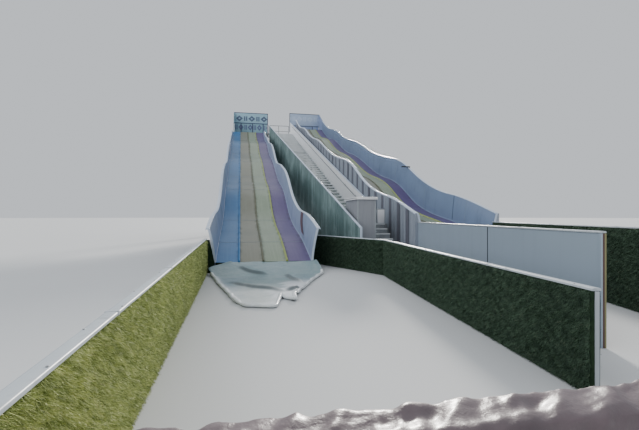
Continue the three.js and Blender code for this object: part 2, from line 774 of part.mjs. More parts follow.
add(
  "entry_panel",
  block(
    [ENTRY_PANEL.xLeft, LANDING.yFront, LANDING.z + SEAT],
    [ENTRY_PANEL.xRight, LANDING.yFront + ENTRY_PANEL.thickness, ENTRY_PANEL.top],
  ),
  MATERIALS.white,
);

// Low walls
const centreWallBack = {
  x: slideRight(LANE_WIDTH) + faceted(wallFlare, CENTRE_WALL_CORNER_Y) + TRIM_WIDTH + SEAT,
  y: CENTRE_WALL_BACK_Y,
};
const RUN_OUT_WALLS = [
  [["left_turf_wall"], [LEFT_WALL_FRONT, LEFT_WALL_BACK], LOW_WALL_HEIGHT, MATERIALS.turf],
  [
    ["centre_wall_back", "centre_wall_front"],
    [centreWallBack, CENTRE_WALL_CORNER, CENTRE_WALL_FRONT],
    LOW_WALL_HEIGHT,
    MATERIALS.turf,
    "x",
  ],
  [
    ["white_wall_back", "white_wall_front"],
    [WHITE_WALL_BACK, WHITE_WALL_JOINT, WHITE_WALL_FRONT],
    RIGHT_LOW_WALL_HEIGHT,
    MATERIALS.white,
    "y",
  ],
  [
    ["right_turf_wall"],
    [RIGHT_WALL_BACK, RIGHT_WALL_FRONT],
    RIGHT_LOW_WALL_HEIGHT,
    MATERIALS.turf,
    "y",
  ],
];
RUN_OUT_WALLS.forEach(([names, points, height, material, flush]) => {
  const bays = lowWalls(points, height, flush);
  names.forEach((name, k) => add(name, bays[k], material));
});
const turfInnerX =
  planeX(LEFT_WALL_FRONT, LEFT_WALL_BACK, LIP_Y - RETURN_PANEL.thickness) + LOW_WALL_THICKNESS / 2 + SEAT;
const endOutline = new THREE.Shape()
  .moveTo(turfInnerX, 0)
  .lineTo(RETURN_PANEL.footX, 0)
  .lineTo(RETURN_PANEL.footX, RETURN_PANEL.bend)
  .lineTo(RETURN_PANEL.topX, RETURN_PANEL.top)
  .lineTo(turfInnerX, RETURN_PANEL.top);
const endPanel = new THREE.ExtrudeGeometry(endOutline, {
  depth: RETURN_PANEL.thickness,
  bevelEnabled: false,
});
add(
  "left_return_panel",
  endPanel.rotateX(Math.PI / 2).translate(0, LIP_Y - SEAT, 0),
  MATERIALS.turf,
);
const frontWallLeft = LEFT_WALL_FRONT.x + LOW_CAP_WIDTH / 2 + SEAT;
add(
  "front_padded_wall",
  block([frontWallLeft, FRONT_WALL.yFront, 0], [FRONT_WALL.xRight, FRONT_WALL.yBack, LOW_WALL_HEIGHT]),
  MATERIALS.pad,
);

// The origin is under the middle of the whole.
const bounds = new THREE.Box3().setFromObject(tower);
const middle = bounds.getCenter(new THREE.Vector3());
tower.position.set(-middle.x, -middle.y, -bounds.min.z);

export default tower;
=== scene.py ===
"""Looks of a dry fairground wave slide: two four-lane chutes with a stair between them.

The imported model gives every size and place. Each class dresses one sub-assembly of it.
"""
import logging
import math
from dataclasses import dataclass
from enum import Enum
from typing import Any, Callable, Protocol, Sequence

import bpy
import numpy as np
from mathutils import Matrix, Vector


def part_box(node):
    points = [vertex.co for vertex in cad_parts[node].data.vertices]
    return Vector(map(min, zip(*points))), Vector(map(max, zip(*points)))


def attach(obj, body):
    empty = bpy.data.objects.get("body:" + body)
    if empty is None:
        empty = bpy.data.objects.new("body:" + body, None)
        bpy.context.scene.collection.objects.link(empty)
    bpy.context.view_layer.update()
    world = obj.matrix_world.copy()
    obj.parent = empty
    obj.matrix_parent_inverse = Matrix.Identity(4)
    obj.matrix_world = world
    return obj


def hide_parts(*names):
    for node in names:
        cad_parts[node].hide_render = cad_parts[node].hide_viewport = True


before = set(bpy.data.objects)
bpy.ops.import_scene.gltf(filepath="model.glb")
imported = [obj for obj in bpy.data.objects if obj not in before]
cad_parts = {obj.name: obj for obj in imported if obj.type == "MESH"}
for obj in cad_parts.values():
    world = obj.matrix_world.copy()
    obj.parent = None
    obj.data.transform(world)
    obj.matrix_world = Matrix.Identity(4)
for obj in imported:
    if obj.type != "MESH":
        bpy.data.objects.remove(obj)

ROOT = "root"

# Types: a span is two ends or a place on a plan, a line two places, a rise the bottom and top at a distance.
Colour = tuple[float, float, float, float]
Line = tuple[float, float, float, float]
Triple = tuple[float, float, float]
Span = tuple[float, float]
Rows = np.ndarray
Run = float | Rows
Rise = Callable[[float], Span]
Piece = bpy.types.Object
Material = bpy.types.Material

# Half of a base plate, how far its bolts stand from the middle, and half of a leg, in metres.
PLATE_HALF = 0.15
BOLT_INSET = 0.11
LEG_HALF = 0.06

# A chute's side wall: its thickness and the depth of its edge beam, in metres.
WALL_THICKNESS = 0.045
EDGE_BEAM = 0.28

# Sections. A lane's dish is given by share of its width and height, the others in metres.
LANE_DISH = ((0.0, 0.0), (0.14, -0.002), (0.42, -0.005), (0.69, -0.004), (0.85, -0.001))
LANE_RIDGE = (
    (-0.072, 0.0), (-0.062, 0.010), (-0.052, 0.032), (-0.040, 0.043), (-0.025, 0.047), (-0.012, 0.042),
    (-0.003, 0.026),
)
SEAM_RIDGE = ((-0.075, 0.002), (-0.05, 0.036), (-0.024, 0.05), (-0.002, 0.03), (0.004, 0.002))
WALL_FOOT = ((-0.02, 0.002), (-0.008, 0.006), (-0.001, 0.018))
WALL_SHARES = (0.09, 0.18, 0.3, 0.45, 0.6, 0.72, 0.84, 0.93, 0.98)
TRIM_ROLL = (
    (-0.004, -0.020), (-0.006, -0.006), (0.003, 0.003), (0.03, 0.008), (0.08, 0.008), (0.104, 0.002),
    (0.112, -0.012), (0.112, -0.050), (0.104, -0.052), (0.099, -0.026), (0.05, -0.030),
)
STAIR_CAP = (
    (-0.036, -0.045), (-0.038, -0.010), (-0.028, 0.0), (0.028, 0.0), (0.038, -0.010), (0.036, -0.045),
    (0.026, -0.045), (-0.026, -0.045),
)
PARAPET_CAP = ((-0.036, -0.042), (-0.038, -0.010), (-0.028, 0.0), (0.028, 0.0), (0.038, -0.010), (0.036, -0.042))
LOW_CAP = (
    (-0.042, -0.026), (-0.044, -0.010), (-0.038, -0.002), (-0.026, 0.0), (0.026, 0.0), (0.038, -0.002),
    (0.044, -0.010), (0.042, -0.026),
)

log = logging.getLogger("wave_slide")


def paint(red: int, green: int, blue: int) -> Colour:
    """Turns a paint-card colour in steps of 0 to 255 into linear light.

    Args:
        red: Red step.
        green: Green step.
        blue: Blue step.

    Returns:
        The linear colour with full alpha.
    """
    steps = [step / 255 for step in (red, green, blue)]
    linear = [s / 12.92 if s <= 0.04045 else ((s + 0.055) / 1.055) ** 2.4 for s in steps]
    return (*linear, 1.0)


class Value:
    """A shader socket whose Python operators add Math nodes."""

    def __init__(self, shader: "Shader", socket: bpy.types.NodeSocket) -> None:
        """Keeps the socket and the shader it belongs to."""
        self.shader = shader
        self.socket = socket

    def math(self, operation: str, *operands: "Value | float") -> "Value":
        """Adds one Math node with the given operands."""
        return self.shader.node("ShaderNodeMath", {"operation": operation}, dict(enumerate(operands)))[0]

    def __add__(self, other: "Value | float") -> "Value":
        """Sum."""
        return self.math("ADD", self, other)

    __radd__ = __add__

    def __sub__(self, other: "Value | float") -> "Value":
        """Difference."""
        return self.math("SUBTRACT", self, other)

    def __rsub__(self, other: float) -> "Value":
        """Reflected difference."""
        return self.math("SUBTRACT", other, self)

    def __mul__(self, other: "Value | float") -> "Value":
        """Product."""
        return self.math("MULTIPLY", self, other)

    __rmul__ = __mul__

    def __truediv__(self, other: "Value | float") -> "Value":
        """Quotient."""
        return self.math("DIVIDE", self, other)

    def __gt__(self, other: "Value | float") -> "Value":
        """One where this is greater, otherwise zero."""
        return self.math("GREATER_THAN", self, other)

    def __lt__(self, other: "Value | float") -> "Value":
        """One where this is less, otherwise zero."""
        return self.math("LESS_THAN", self, other)

    def __abs__(self) -> "Value":
        """Size without sign."""
        return self.math("ABSOLUTE", self)

    def whole(self) -> "Value":
        """The whole number below."""
        return self.math("FLOOR", self)

    def part(self) -> "Value":
        """What is left above the whole number below, from 0 to 1."""
        return self.math("FRACT", self)

    def step(self, low: float, high: float) -> "Value":
        """Smooth rise from 0 at low to 1 at high."""
        settings = {"interpolation_type": "SMOOTHSTEP"}
        return self.shader.node("ShaderNodeMapRange", settings, {0: self, 1: low, 2: high})[0]


class Made:
    """A node that was added, read by its output's name or number."""

    def __init__(self, shader: "Shader", node: bpy.types.Node) -> None:
        """Keeps the node."""
        self.shader = shader
        self.node = node

    def __getitem__(self, key: str | int) -> Value:
        """One output as a value."""
        return Value(self.shader, self.node.outputs[key])


class Shader:
    """One material's node tree."""

    def __init__(self, name: str, coating: "Coating") -> None:
        """Makes the material.

        Args:
            name: Its name.
            coating: What it looks like.
        """
        self.material = bpy.data.materials.new(name)
        self.material.use_nodes = True
        self.tree = self.material.node_tree
        self.tree.nodes.clear()
        self.place = self.node("ShaderNodeTexCoord")["Object"]
        split = self.node("ShaderNodeSeparateXYZ", {}, {0: self.place})
        self.x, self.y, self.z = split[0], split[1], split[2]
        coating.lay_on(self)

    def node(self, kind: str, settings: dict | None = None, sockets: dict | None = None) -> Made:
        """Adds a node.

        Args:
            kind: The node's type.
            settings: Its own settings.
            sockets: Values or links by input name or number.

        Returns:
            The node that was added.
        """
        made = self.tree.nodes.new(kind)
        for key, setting in (settings or {}).items():
            setattr(made, key, setting)
        for key, given in (sockets or {}).items():
            if isinstance(given, Value):
                self.tree.links.new(given.socket, made.inputs[key])
            else:
                made.inputs[key].default_value = given
        return Made(self, made)

    def run(self) -> tuple[Value, Value]:
        """Across and along positions in metres, from a swept piece's own map; the landing mat's map holds its
        painted shade and painted highlight instead.
        """
        split = self.node("ShaderNodeSeparateXYZ", {}, {0: self.node("ShaderNodeTexCoord")["UV"]})
        return split[0], split[1]

    def point(self, x: Value | float, y: Value | float, z: Value | float) -> Value:
        """A vector of three numbers."""
        return self.node("ShaderNodeCombineXYZ", {}, {0: x, 1: y, 2: z})[0]

    def stretched(self, x: float, y: float, z: float) -> Value:
        """Object coordinates scaled along each axis."""
        return self.node("ShaderNodeVectorMath", {"operation": "MULTIPLY"}, {0: self.place, 1: (x, y, z)})[0]

    def noise(
        self, scale: float, vector: Value | None = None, detail: float = 3.0, rough: float = 0.5
    ) -> Value:
        """Cloudy noise around one half, with scale repeats a metre."""
        sockets = {"Vector": vector or self.place, "Scale": scale, "Detail": detail, "Roughness": rough}
        return self.node("ShaderNodeTexNoise", {}, sockets)["Fac"]

    def cells(self, scale: float) -> Made:
        """Voronoi cells with scale cells a metre."""
        return self.node("ShaderNodeTexVoronoi", {}, {"Vector": self.place, "Scale": scale})

    def mix(self, share: Value | float, first: Value | Colour, second: Value | Colour) -> Value:
        """Mixes two colours."""
        return self.node("ShaderNodeMix", {"data_type": "RGBA"}, {0: share, 6: first, 7: second})[2]

    def bump(self, height: Value, distance: float, strength: float = 1.0, base: Value | None = None) -> Value:
        """Makes a normal from a relief.

        Args:
            height: The relief, from 0 to 1.
            distance: Its depth in metres.
            strength: How much of it shows.
            base: A normal that it is added to.

        Returns:
            The normal.
        """
        sockets = {"Height": height, "Distance": distance, "Strength": strength}
        if base:
            sockets["Normal"] = base
        return self.node("ShaderNodeBump", {}, sockets)["Normal"]

    def surface(self, **sockets: Any) -> None:
        """Ends the tree in a Principled surface.

        Args:
            sockets: Its sockets, with underscores for the spaces in their names.
        """
        named = {key.replace("_", " "): given for key, given in sockets.items()}
        shell = self.node("ShaderNodeBsdfPrincipled", {}, named)
        self.node("ShaderNodeOutputMaterial", {}, {"Surface": shell["BSDF"]})


class Coating(Protocol):
    """What every finish can do."""

    def lay_on(self, shader: Shader) -> None:
        """Lays the finish on a material's shader."""


@dataclass(frozen=True)
class GelCoat:
    """Glossy lane laminate with its own ridge colour, rubbed along the run."""

    colour: Colour
    pale: Colour
    ridge: Colour
    ridge_from: float = 0.655

    def lay_on(self, shader: Shader) -> None:
        """Lays the finish on.

        Args:
            shader: The material's shader.
        """
        across, along = shader.run()
        streaks = shader.noise(1.0, shader.point(across * 26.0, along * 0.35, 0.0), 5.0, 0.62)
        patches = shader.noise(1.0, shader.point(across * 1.6, along * 0.7, 0.0), 4.0, 0.6)
        wear = (streaks.step(0.42, 0.72) * 0.55 + patches.step(0.4, 0.75) * 0.45) * 0.6
        body = shader.mix(wear, self.colour, self.pale)
        edge = abs(across - 0.33).step(0.22, 0.33) * shader.noise(3.0).step(0.35, 0.7)
        grubby = shader.mix(edge * 0.4, body, paint(74, 78, 74))
        on_ridge = across.step(self.ridge_from - 0.006, self.ridge_from)
        rubbed = shader.mix(streaks.step(0.5, 0.8) * 0.35, self.ridge, self.pale)
        ripples = shader.bump(shader.noise(1.3, detail=2.0), 0.02, 0.6)
        scratches = shader.bump(streaks, 0.0009, 0.5, ripples)
        shader.surface(
            Base_Color=shader.mix(on_ridge, grubby, rubbed),
            Roughness=0.36 + wear * 0.16 + edge * 0.2,
            Specular_IOR_Level=0.3,
            Coat_Weight=0.1,
            Coat_Roughness=0.2,
            Normal=scratches,
        )


@dataclass(frozen=True)
class Laminate:
    """Satin side wall laminate with washed streaks."""

    colour: Colour
    dirt: Colour

    def lay_on(self, shader: Shader) -> None:
        """Lays the finish on.

        Args:
            shader: The material's shader.
        """
        runs = shader.noise(1.0, shader.stretched(3.0, 3.0, 0.45), 5.0, 0.6)
        clouds = shader.noise(0.8, detail=4.0)
        dirty = runs.step(0.5, 0.8) * 0.45 + clouds.step(0.45, 0.8) * 0.3
        ripples = shader.bump(shader.noise(1.7, detail=2.0), 0.025, 0.6)
        shader.surface(
            Base_Color=shader.mix(dirty, self.colour, self.dirt),
            Roughness=0.36 + dirty * 0.3,
            Specular_IOR_Level=0.3,
            Coat_Weight=0.08,
            Coat_Roughness=0.2,
            Normal=ripples,
        )


@dataclass(frozen=True)
class PaintedSheet:
    """Painted metal or board with rain streaks, scuffs and a fine orange peel."""

    colour: Colour
    dirt: Colour
    roughness: float = 0.42
    amount: float = 0.6
    scuff: Colour | None = None

    def lay_on(self, shader: Shader) -> None:
        """Lays the finish on.

        Args:
            shader: The material's shader.
        """
        runs = shader.noise(1.0, shader.stretched(9.0, 9.0, 0.5), 6.0, 0.62)
        clouds = shader.noise(0.9, detail=5.0)
        dirty = (runs.step(0.48, 0.8) * 0.6 + clouds.step(0.42, 0.8) * 0.4) * self.amount
        colour = shader.mix(dirty, self.colour, self.dirt)
        if self.scuff:
            scuffs = (shader.noise(2.3, detail=8.0, rough=0.75) > 0.69) * (shader.noise(23.0, detail=4.0) > 0.5)
            colour = shader.mix(scuffs, colour, self.scuff)
        peel = shader.bump(shader.noise(160.0, detail=2.0), 0.0006, 0.35)
        dents = shader.bump(shader.noise(1.9, detail=2.0), 0.012, 0.5, peel)
        shader.surface(
            Base_Color=colour,
            Roughness=self.roughness + dirty * 0.3,
            Specular_IOR_Level=0.45,
            Normal=dents,
        )


@dataclass(frozen=True)
class Galvanised:
    """Hot-dipped steel: spangles, dull patches and a little rust."""

    colour: Colour = paint(163, 167, 170)
    dull: Colour = paint(118, 122, 124)
    rust: Colour = paint(112, 70, 42)

    def lay_on(self, shader: Shader) -> None:
        """Lays the finish on.

        Args:
            shader: The material's shader.
        """
        spangle = shader.cells(55.0)
        tone = shader.node("ShaderNodeSeparateColor", {}, {0: spangle["Color"]})[0]
        dulled = shader.noise(3.0, detail=6.0, rough=0.65).step(0.4, 0.75)
        rusty = shader.noise(7.0, detail=9.0, rough=0.7).step(0.66, 0.72)
        base = shader.mix(tone * 0.35 + dulled * 0.5, self.colour, self.dull)
        shader.surface(
            Base_Color=shader.mix(rusty * 0.7, base, self.rust),
            Metallic=0.85 - rusty * 0.8,
            Roughness=0.42 + dulled * 0.2 + tone * 0.08,
            Normal=shader.bump(shader.noise(60.0, detail=3.0), 0.0008, 0.5),
        )


@dataclass(frozen=True)
class ChequerPlate:
    """Aluminium tread plate with raised lozenges in two directions, worn bright on top."""

    colour: Colour = paint(206, 210, 214)
    grime: Colour = paint(140, 144, 146)
    pitch: float = 0.032

    def lay_on(self, shader: Shader) -> None:
        """Lays the finish on.

        Args:
            shader: The material's shader.
        """
        turned_x = (shader.x + shader.y) / self.pitch
        turned_y = (shader.x - shader.y) / self.pitch
        cell_x = turned_x.part() - 0.5
        cell_y = turned_y.part() - 0.5
        flip = ((turned_x.whole() + turned_y.whole()) * 0.5).part() > 0.25
        long = cell_x * flip + cell_y * (1 - flip)
        short = cell_y * flip + cell_x * (1 - flip)
        size = (long * long) * 5.0 + (short * short) * 70.0
        lug = 1 - size.step(0.55, 1.0)
        dirt = shader.noise(4.0, detail=6.0, rough=0.65).step(0.38, 0.72)
        base = shader.mix(dirt * (1 - lug * 0.7), self.colour, self.grime)
        shader.surface(
            Base_Color=base,
            Metallic=0.45,
            Roughness=0.5 - lug * 0.16 + dirt * 0.2,
            Normal=shader.bump(lug, 0.0018, 0.9),
        )


@dataclass(frozen=True)
class TurfBacking:
    """The woven backing and short pile that shows between the blades."""

    deep: Colour
    light: Colour

    def lay_on(self, shader: Shader) -> None:
        """Lays the finish on.

        Args:
            shader: The material's shader.
        """
        fine = shader.noise(210.0, detail=4.0, rough=0.7)
        clumps = shader.noise(26.0, detail=4.0, rough=0.6)
        clouds = shader.noise(1.4, detail=3.0)
        tone = fine * 0.45 + clumps * 0.35 + clouds * 0.2
        shader.surface(
            Base_Color=shader.mix(tone.step(0.36, 0.64), self.deep, self.light),
            Roughness=0.92,
            Specular_IOR_Level=0.15,
            Normal=shader.bump(fine * 0.6 + clumps * 0.4, 0.014, 0.9),
        )


@dataclass(frozen=True)
class TurfBlade:
    """Plastic grass blades, each with its own tone."""

    deep: Colour
    light: Colour
    dry: Colour

    def lay_on(self, shader: Shader) -> None:
        """Lays the finish on.

        Args:
            shader: The material's shader.
        """
        shade = shader.node("ShaderNodeAttribute", {"attribute_name": "shade"})["Fac"]
        clouds = shader.noise(1.1, detail=4.0)
        tone = shader.mix((shade * 0.75 + clouds * 0.4 - 0.08).step(0.1, 0.9), self.deep, self.light)
        shader.surface(
            Base_Color=shader.mix((shade > 0.93) * 0.6, tone, self.dry),
            Roughness=0.6,
            Specular_IOR_Level=0.3,
        )


@dataclass(frozen=True)
class CoatedFabric:
    """Coated fabric: a faint weave, creases, random dirt, painted shade beside the folds and painted highlights.
    """

    colour: Colour
    dirt: Colour
    roughness: float = 0.34
    crease: float = 0.01
    # A darker tone towards the lip: its colour, where it starts along y and over what distance it comes in.
    lip_tone: Colour | None = None
    lip_tone_from: float = -11.5
    lip_tone_over: float = 1.8
    # Painted highlight colour for the rim and the turned-over flap.
    bright: Colour | None = None
    # Painted shade colour beside the folds.
    fold: Colour = paint(62, 78, 82)
    coat: float = 0.35

    def lay_on(self, shader: Shader) -> None:
        """Lays the finish on.

        Args:
            shader: The material's shader.
        """
        long = shader.noise(1.0, shader.stretched(3.2, 1.1, 2.4), 6.0, 0.6)
        clouds = shader.noise(2.2, detail=5.0)
        small = shader.noise(11.0, detail=5.0, rough=0.6)
        sharp = 1 - abs(small - 0.5) * 4.0
        wide = 1 - abs(shader.noise(4.0, detail=4.0, rough=0.55) - 0.5) * 4.0
        dirty = long.step(0.45, 0.8) * 0.5 + clouds.step(0.42, 0.75) * 0.4
        creases = shader.bump(wide * 0.6 + sharp * 0.4, self.crease, 0.9)
        colour = shader.mix(dirty, self.colour, self.dirt)
        # Darker teal towards the lip, with a wavy border.
        if self.lip_tone:
            place = shader.y + shader.noise(1.2, detail=4.0) * 1.6
            lip_share = place.step(self.lip_tone_from, self.lip_tone_from + self.lip_tone_over)
            colour = shader.mix(lip_share * 0.85, colour, self.lip_tone)
        if self.bright:
            fold_shade, lit = shader.run()
            # Painted highlight on the rim and the turned-over flap.
            colour = shader.mix(lit, colour, self.bright)
            # Painted shade beside the folds.
            colour = shader.mix(fold_shade, colour, self.fold)
        threads = shader.bump(shader.cells(420.0)["Distance"], 0.0004, 0.4, creases)
        shader.surface(
            Base_Color=colour,
            Roughness=self.roughness + dirty * 0.25,
            Coat_Weight=self.coat,
            Coat_Roughness=0.16,
            Normal=threads,
        )


@dataclass(frozen=True)
class ScreenPaint:
    """Painted screen board with a plain pattern of bars and lozenges, faded by the weather."""

    ground: Colour
    figure: Colour
    left: float
    bottom: float
    pitch: float = 1.1
    height: float = 0.62

    def lay_on(self, shader: Shader) -> None:
        """Lays the finish on.

        Args:
            shader: The material's shader.
        """
        u = ((shader.x - self.left) / self.pitch).part() - 0.5
        v = (shader.z - self.bottom) / self.height - 0.5
        from_middle = abs(u) * 1.9 + abs(v) * 1.15
        lozenge = from_middle < 0.55
        core = from_middle < 0.16
        tick = (abs(abs(u) - 0.42) < 0.055) * (abs(v) < 0.36)
        mark = lozenge - core + tick
        faded = shader.noise(2.4, detail=6.0, rough=0.6)
        colour = shader.mix(mark * (0.55 + faded * 0.5), self.ground, self.figure)
        shader.surface(
            Base_Color=shader.mix(faded.step(0.45, 0.8) * 0.3, colour, paint(140, 160, 168)),
            Roughness=0.36 + faded * 0.2,
            Normal=shader.bump(shader.noise(1.8, detail=2.0), 0.01, 0.5),
        )


@dataclass(frozen=True)
class FloorPaint:
    """Plain pale studio floor."""

    colour: Colour = paint(205, 207, 208)

    def lay_on(self, shader: Shader) -> None:
        """Lays the finish on.

        Args:
            shader: The material's shader.
        """
        tone = shader.noise(0.4, detail=3.0)
        shader.surface(
            Base_Color=shader.mix(tone * 0.12, self.colour, paint(188, 190, 191)),
            Roughness=0.85,
            Specular_IOR_Level=0.2,
        )


class Finish(Enum):
    """The finishes of the slide, with the slot that each one belongs to."""

    BLUE_LANE = ("lanes", GelCoat(paint(34, 100, 152), paint(86, 136, 178), paint(58, 118, 168)))
    TAN_LANE = ("lanes", GelCoat(paint(112, 113, 98), paint(140, 143, 130), paint(90, 92, 68)))
    GREEN_LANE = ("lanes", GelCoat(paint(124, 137, 116), paint(160, 173, 152), paint(142, 154, 86)))
    PURPLE_LANE = ("lanes", GelCoat(paint(84, 72, 116), paint(116, 106, 142), paint(84, 72, 116), 2.0))
    LEFT_WALL = ("side_wall", Laminate(paint(138, 154, 182), paint(102, 116, 138)))
    RIGHT_WALL = ("side_wall", Laminate(paint(122, 140, 168), paint(92, 106, 128)))
    TRIM = ("side_wall", PaintedSheet(paint(196, 208, 224), paint(140, 152, 166), 0.32, 0.5))
    SKIRT = ("skirt_sheet", PaintedSheet(paint(142, 150, 162), paint(110, 116, 126), 0.46, 0.7))
    STRIP = ("skirt_sheet", PaintedSheet(paint(100, 102, 114), paint(74, 76, 86), 0.5, 0.6))
    JOINT = ("skirt_sheet", PaintedSheet(paint(34, 38, 42), paint(24, 26, 30), 0.6, 0.5))
    PATCH = ("side_wall", PaintedSheet(paint(92, 68, 80), paint(64, 46, 56), 0.5, 0.8))
    WALL_JOINT = ("side_wall", PaintedSheet(paint(80, 98, 116), paint(60, 76, 92), 0.5, 0.6))
    SEAM = ("side_wall", PaintedSheet(paint(132, 146, 158), paint(104, 116, 128), 0.45, 0.8))
    RIBBED = ("ribbed_sheet", PaintedSheet(paint(82, 108, 108), paint(164, 186, 186), 0.42, 1.1))
    PARAPET = ("parapet_sheet", PaintedSheet(paint(250, 250, 252), paint(222, 226, 230), 0.36, 0.5))
    RAIL = ("parapet_sheet", PaintedSheet(paint(150, 156, 160), paint(104, 110, 116), 0.45, 0.7))
    KIOSK = ("parapet_sheet", PaintedSheet(paint(144, 146, 152), paint(108, 112, 118), 0.42, 0.6))
    # The white walls' sheet, darkened to blue-grey: painted shade on a white wall.
    WHITE = ("white_sheet", PaintedSheet(
        paint(152, 166, 180), paint(120, 132, 146), 0.34, 0.3, paint(104, 104, 104)
    ))
    CAP = ("white_sheet", PaintedSheet(
        paint(182, 190, 196), paint(122, 128, 130), 0.36, 0.8, paint(104, 100, 94)
    ))
    EDGE = ("white_sheet", PaintedSheet(paint(85, 60, 55), paint(58, 44, 40), 0.5, 0.7))
    STEEL = ("galvanised_steel", Galvanised())
    # A pale copy of the galvanised steel for the stair flights: painted light, so that treads in shade look lit.
    PALE_LIT_STEEL = ("galvanised_steel", Galvanised(
        paint(222, 226, 228), paint(196, 202, 206), paint(150, 146, 140)
    ))
    PLATE = ("deck_plate", ChequerPlate())
    # Pale nosing paint: painted light on the treads' front edges.
    PALE_LIT_NOSING = ("deck_plate", PaintedSheet(paint(226, 230, 232), paint(186, 190, 192), 0.5, 0.7))
    CORE = ("turf", PaintedSheet(paint(132, 128, 92), paint(84, 86, 56), 0.7, 1.0))
    # Turf in two copies: the first pair is lit with painted sunlight, for the left wall; the second pair is
    # darkened with painted shade, for the other walls, the lip and the return panel.
    BACKING = ("turf", TurfBacking(paint(62, 76, 34), paint(132, 150, 78)))
    BLADES = ("turf", TurfBlade(paint(106, 124, 58), paint(214, 222, 146), paint(222, 214, 160)))
    DARK_BACKING = ("turf", TurfBacking(paint(20, 34, 24), paint(44, 64, 44)))
    DARK_BLADES = ("turf", TurfBlade(paint(34, 52, 42), paint(86, 110, 88), paint(112, 118, 98)))
    # The mat has a painted highlight on its rim and flap and painted shade beside its folds.
    MAT = ("landing_mat", CoatedFabric(
        paint(224, 230, 228), paint(180, 192, 192), 0.3, 0.012, lip_tone=paint(86, 122, 130),
        bright=paint(242, 245, 247),
    ))
    HEM = ("landing_mat", CoatedFabric(paint(236, 240, 242), paint(196, 204, 208), 0.3))
    PAD = ("padding", CoatedFabric(paint(100, 86, 90), paint(56, 46, 52), 0.38, 0.005, coat=0.12))
    SCREEN = ("screen_board", ScreenPaint(paint(150, 186, 202), paint(44, 38, 86), -4.5, 11.0, 1.2))
    RIGHT_SCREEN = ("screen_board", ScreenPaint(paint(166, 182, 206), paint(184, 198, 218), 1.51, 11.2))
    PANEL = ("screen_board", ScreenPaint(paint(124, 160, 174), paint(70, 66, 116), -4.2, 10.12, 0.9, 0.66))
    RIGHT_PANEL = ("screen_board", PaintedSheet(paint(134, 150, 182), paint(104, 118, 148), 0.36, 0.6))
    POST = ("screen_board", PaintedSheet(paint(54, 52, 92), paint(38, 38, 64), 0.4, 0.6))
    RIGHT_POST = ("screen_board", PaintedSheet(paint(70, 80, 100), paint(50, 58, 72), 0.4, 0.6))

    @property
    def slot(self) -> str:
        """The slot that the finish belongs to."""
        return self.value[0]

    @property
    def material(self) -> Material:
        """The material, made the first time that it is asked for."""
        name = self.name.lower()
        return bpy.data.materials.get(name) or Shader(name, self.value[1]).material


def clear() -> None:
    """Leaves edit mode and deselects everything."""
    if bpy.context.object and bpy.context.object.mode != "OBJECT":
        bpy.ops.object.mode_set(mode="OBJECT")
    bpy.ops.object.select_all(action="DESELECT")


def take(piece: Piece) -> None:
    """Selects one piece alone and makes it active.

    Args:
        piece: The piece.
    """
    clear()
    piece.select_set(True)
    bpy.context.view_layer.objects.active = piece


def adopt(name: str) -> Piece:
    """Names the new primitive and puts its place into its mesh.

    Args:
        name: Its name.

    Returns:
        The piece.
    """
    piece = bpy.context.object
    piece.name = name
    piece.data.name = name
    bpy.ops.object.transform_apply(location=True, rotation=True, scale=True)
    return piece


def modify(piece: Piece, kind: str, **settings: Any) -> Piece:
    """Adds a modifier and applies it.

    Args:
        piece: The piece.
        kind: The modifier's type.
        settings: The modifier's settings.

    Returns:
        The same piece.
    """
    take(piece)
    modifier = piece.modifiers.new(kind, kind)
    for key, setting in settings.items():
        setattr(modifier, key, setting)
    bpy.ops.object.modifier_apply(modifier=modifier.name)
    return piece


def smooth(piece: Piece, degrees: float = 35.0) -> Piece:
    """Shades a piece smooth.

    Args:
        piece: The piece.
        degrees: The widest angle that is shaded smooth.

    Returns:
        The same piece.
    """
    take(piece)
    bpy.ops.object.shade_smooth_by_angle(angle=math.radians(degrees))
    return piece


def outward(piece: Piece) -> Piece:
    """Turns a closed piece's faces outwards.

    Args:
        piece: The piece.

    Returns:
        The same piece.
    """
    take(piece)
    bpy.ops.object.mode_set(mode="EDIT")
    bpy.ops.mesh.select_all(action="SELECT")
    bpy.ops.mesh.normals_make_consistent(inside=False)
    bpy.ops.object.mode_set(mode="OBJECT")
    return piece


def block(name: str, low: Sequence[float], high: Sequence[float], bevel: float = 0.004) -> Piece:
    """Makes a block between two corners.

    Args:
        name: The piece's name.
        low: Its low corner.
        high: Its high corner.
        bevel: How much its edges are softened.

    Returns:
        The piece.
    """
    clear()
    low, high = Vector(low), Vector(high)
    bpy.ops.mesh.primitive_cube_add(size=1, location=(low + high) / 2, scale=high - low)
    piece = adopt(name)
    if bevel:
        modify(piece, "BEVEL", width=bevel, segments=2, limit_method="ANGLE")
    return smooth(piece)


def rod(name: str, start: Sequence[float], end: Sequence[float], radius: float, sides: int = 10) -> Piece:
    """Makes a round bar between two points.

    Args:
        name: The piece's name.
        start: The middle of one end.
        end: The middle of the other end.
        radius: Its radius.
        sides: How many flat sides stand for the round.

    Returns:
        The piece.
    """
    clear()
    start, end = Vector(start), Vector(end)
    along = end - start
    turn = along.to_track_quat("Z", "Y").to_euler()
    bpy.ops.mesh.primitive_cylinder_add(
        vertices=sides, radius=radius, depth=along.length, location=(start + end) / 2, rotation=turn
    )
    return smooth(adopt(name))


def bolt(facing: Sequence[float], radius: float = 0.016, depth: float = 0.014) -> Piece:
    """Makes a hexagon bolt head at the origin.

    Args:
        facing: The direction that it faces.
        radius: Its radius.
        depth: Its depth.

    Returns:
        The piece.
    """
    clear()
    turn = Vector(facing).to_track_quat("Z", "Y").to_euler()
    bpy.ops.mesh.primitive_cylinder_add(vertices=6, radius=radius, depth=depth, rotation=turn)
    piece = adopt("bolt_head")
    return modify(piece, "BEVEL", width=depth * 0.2, segments=1, limit_method="ANGLE")


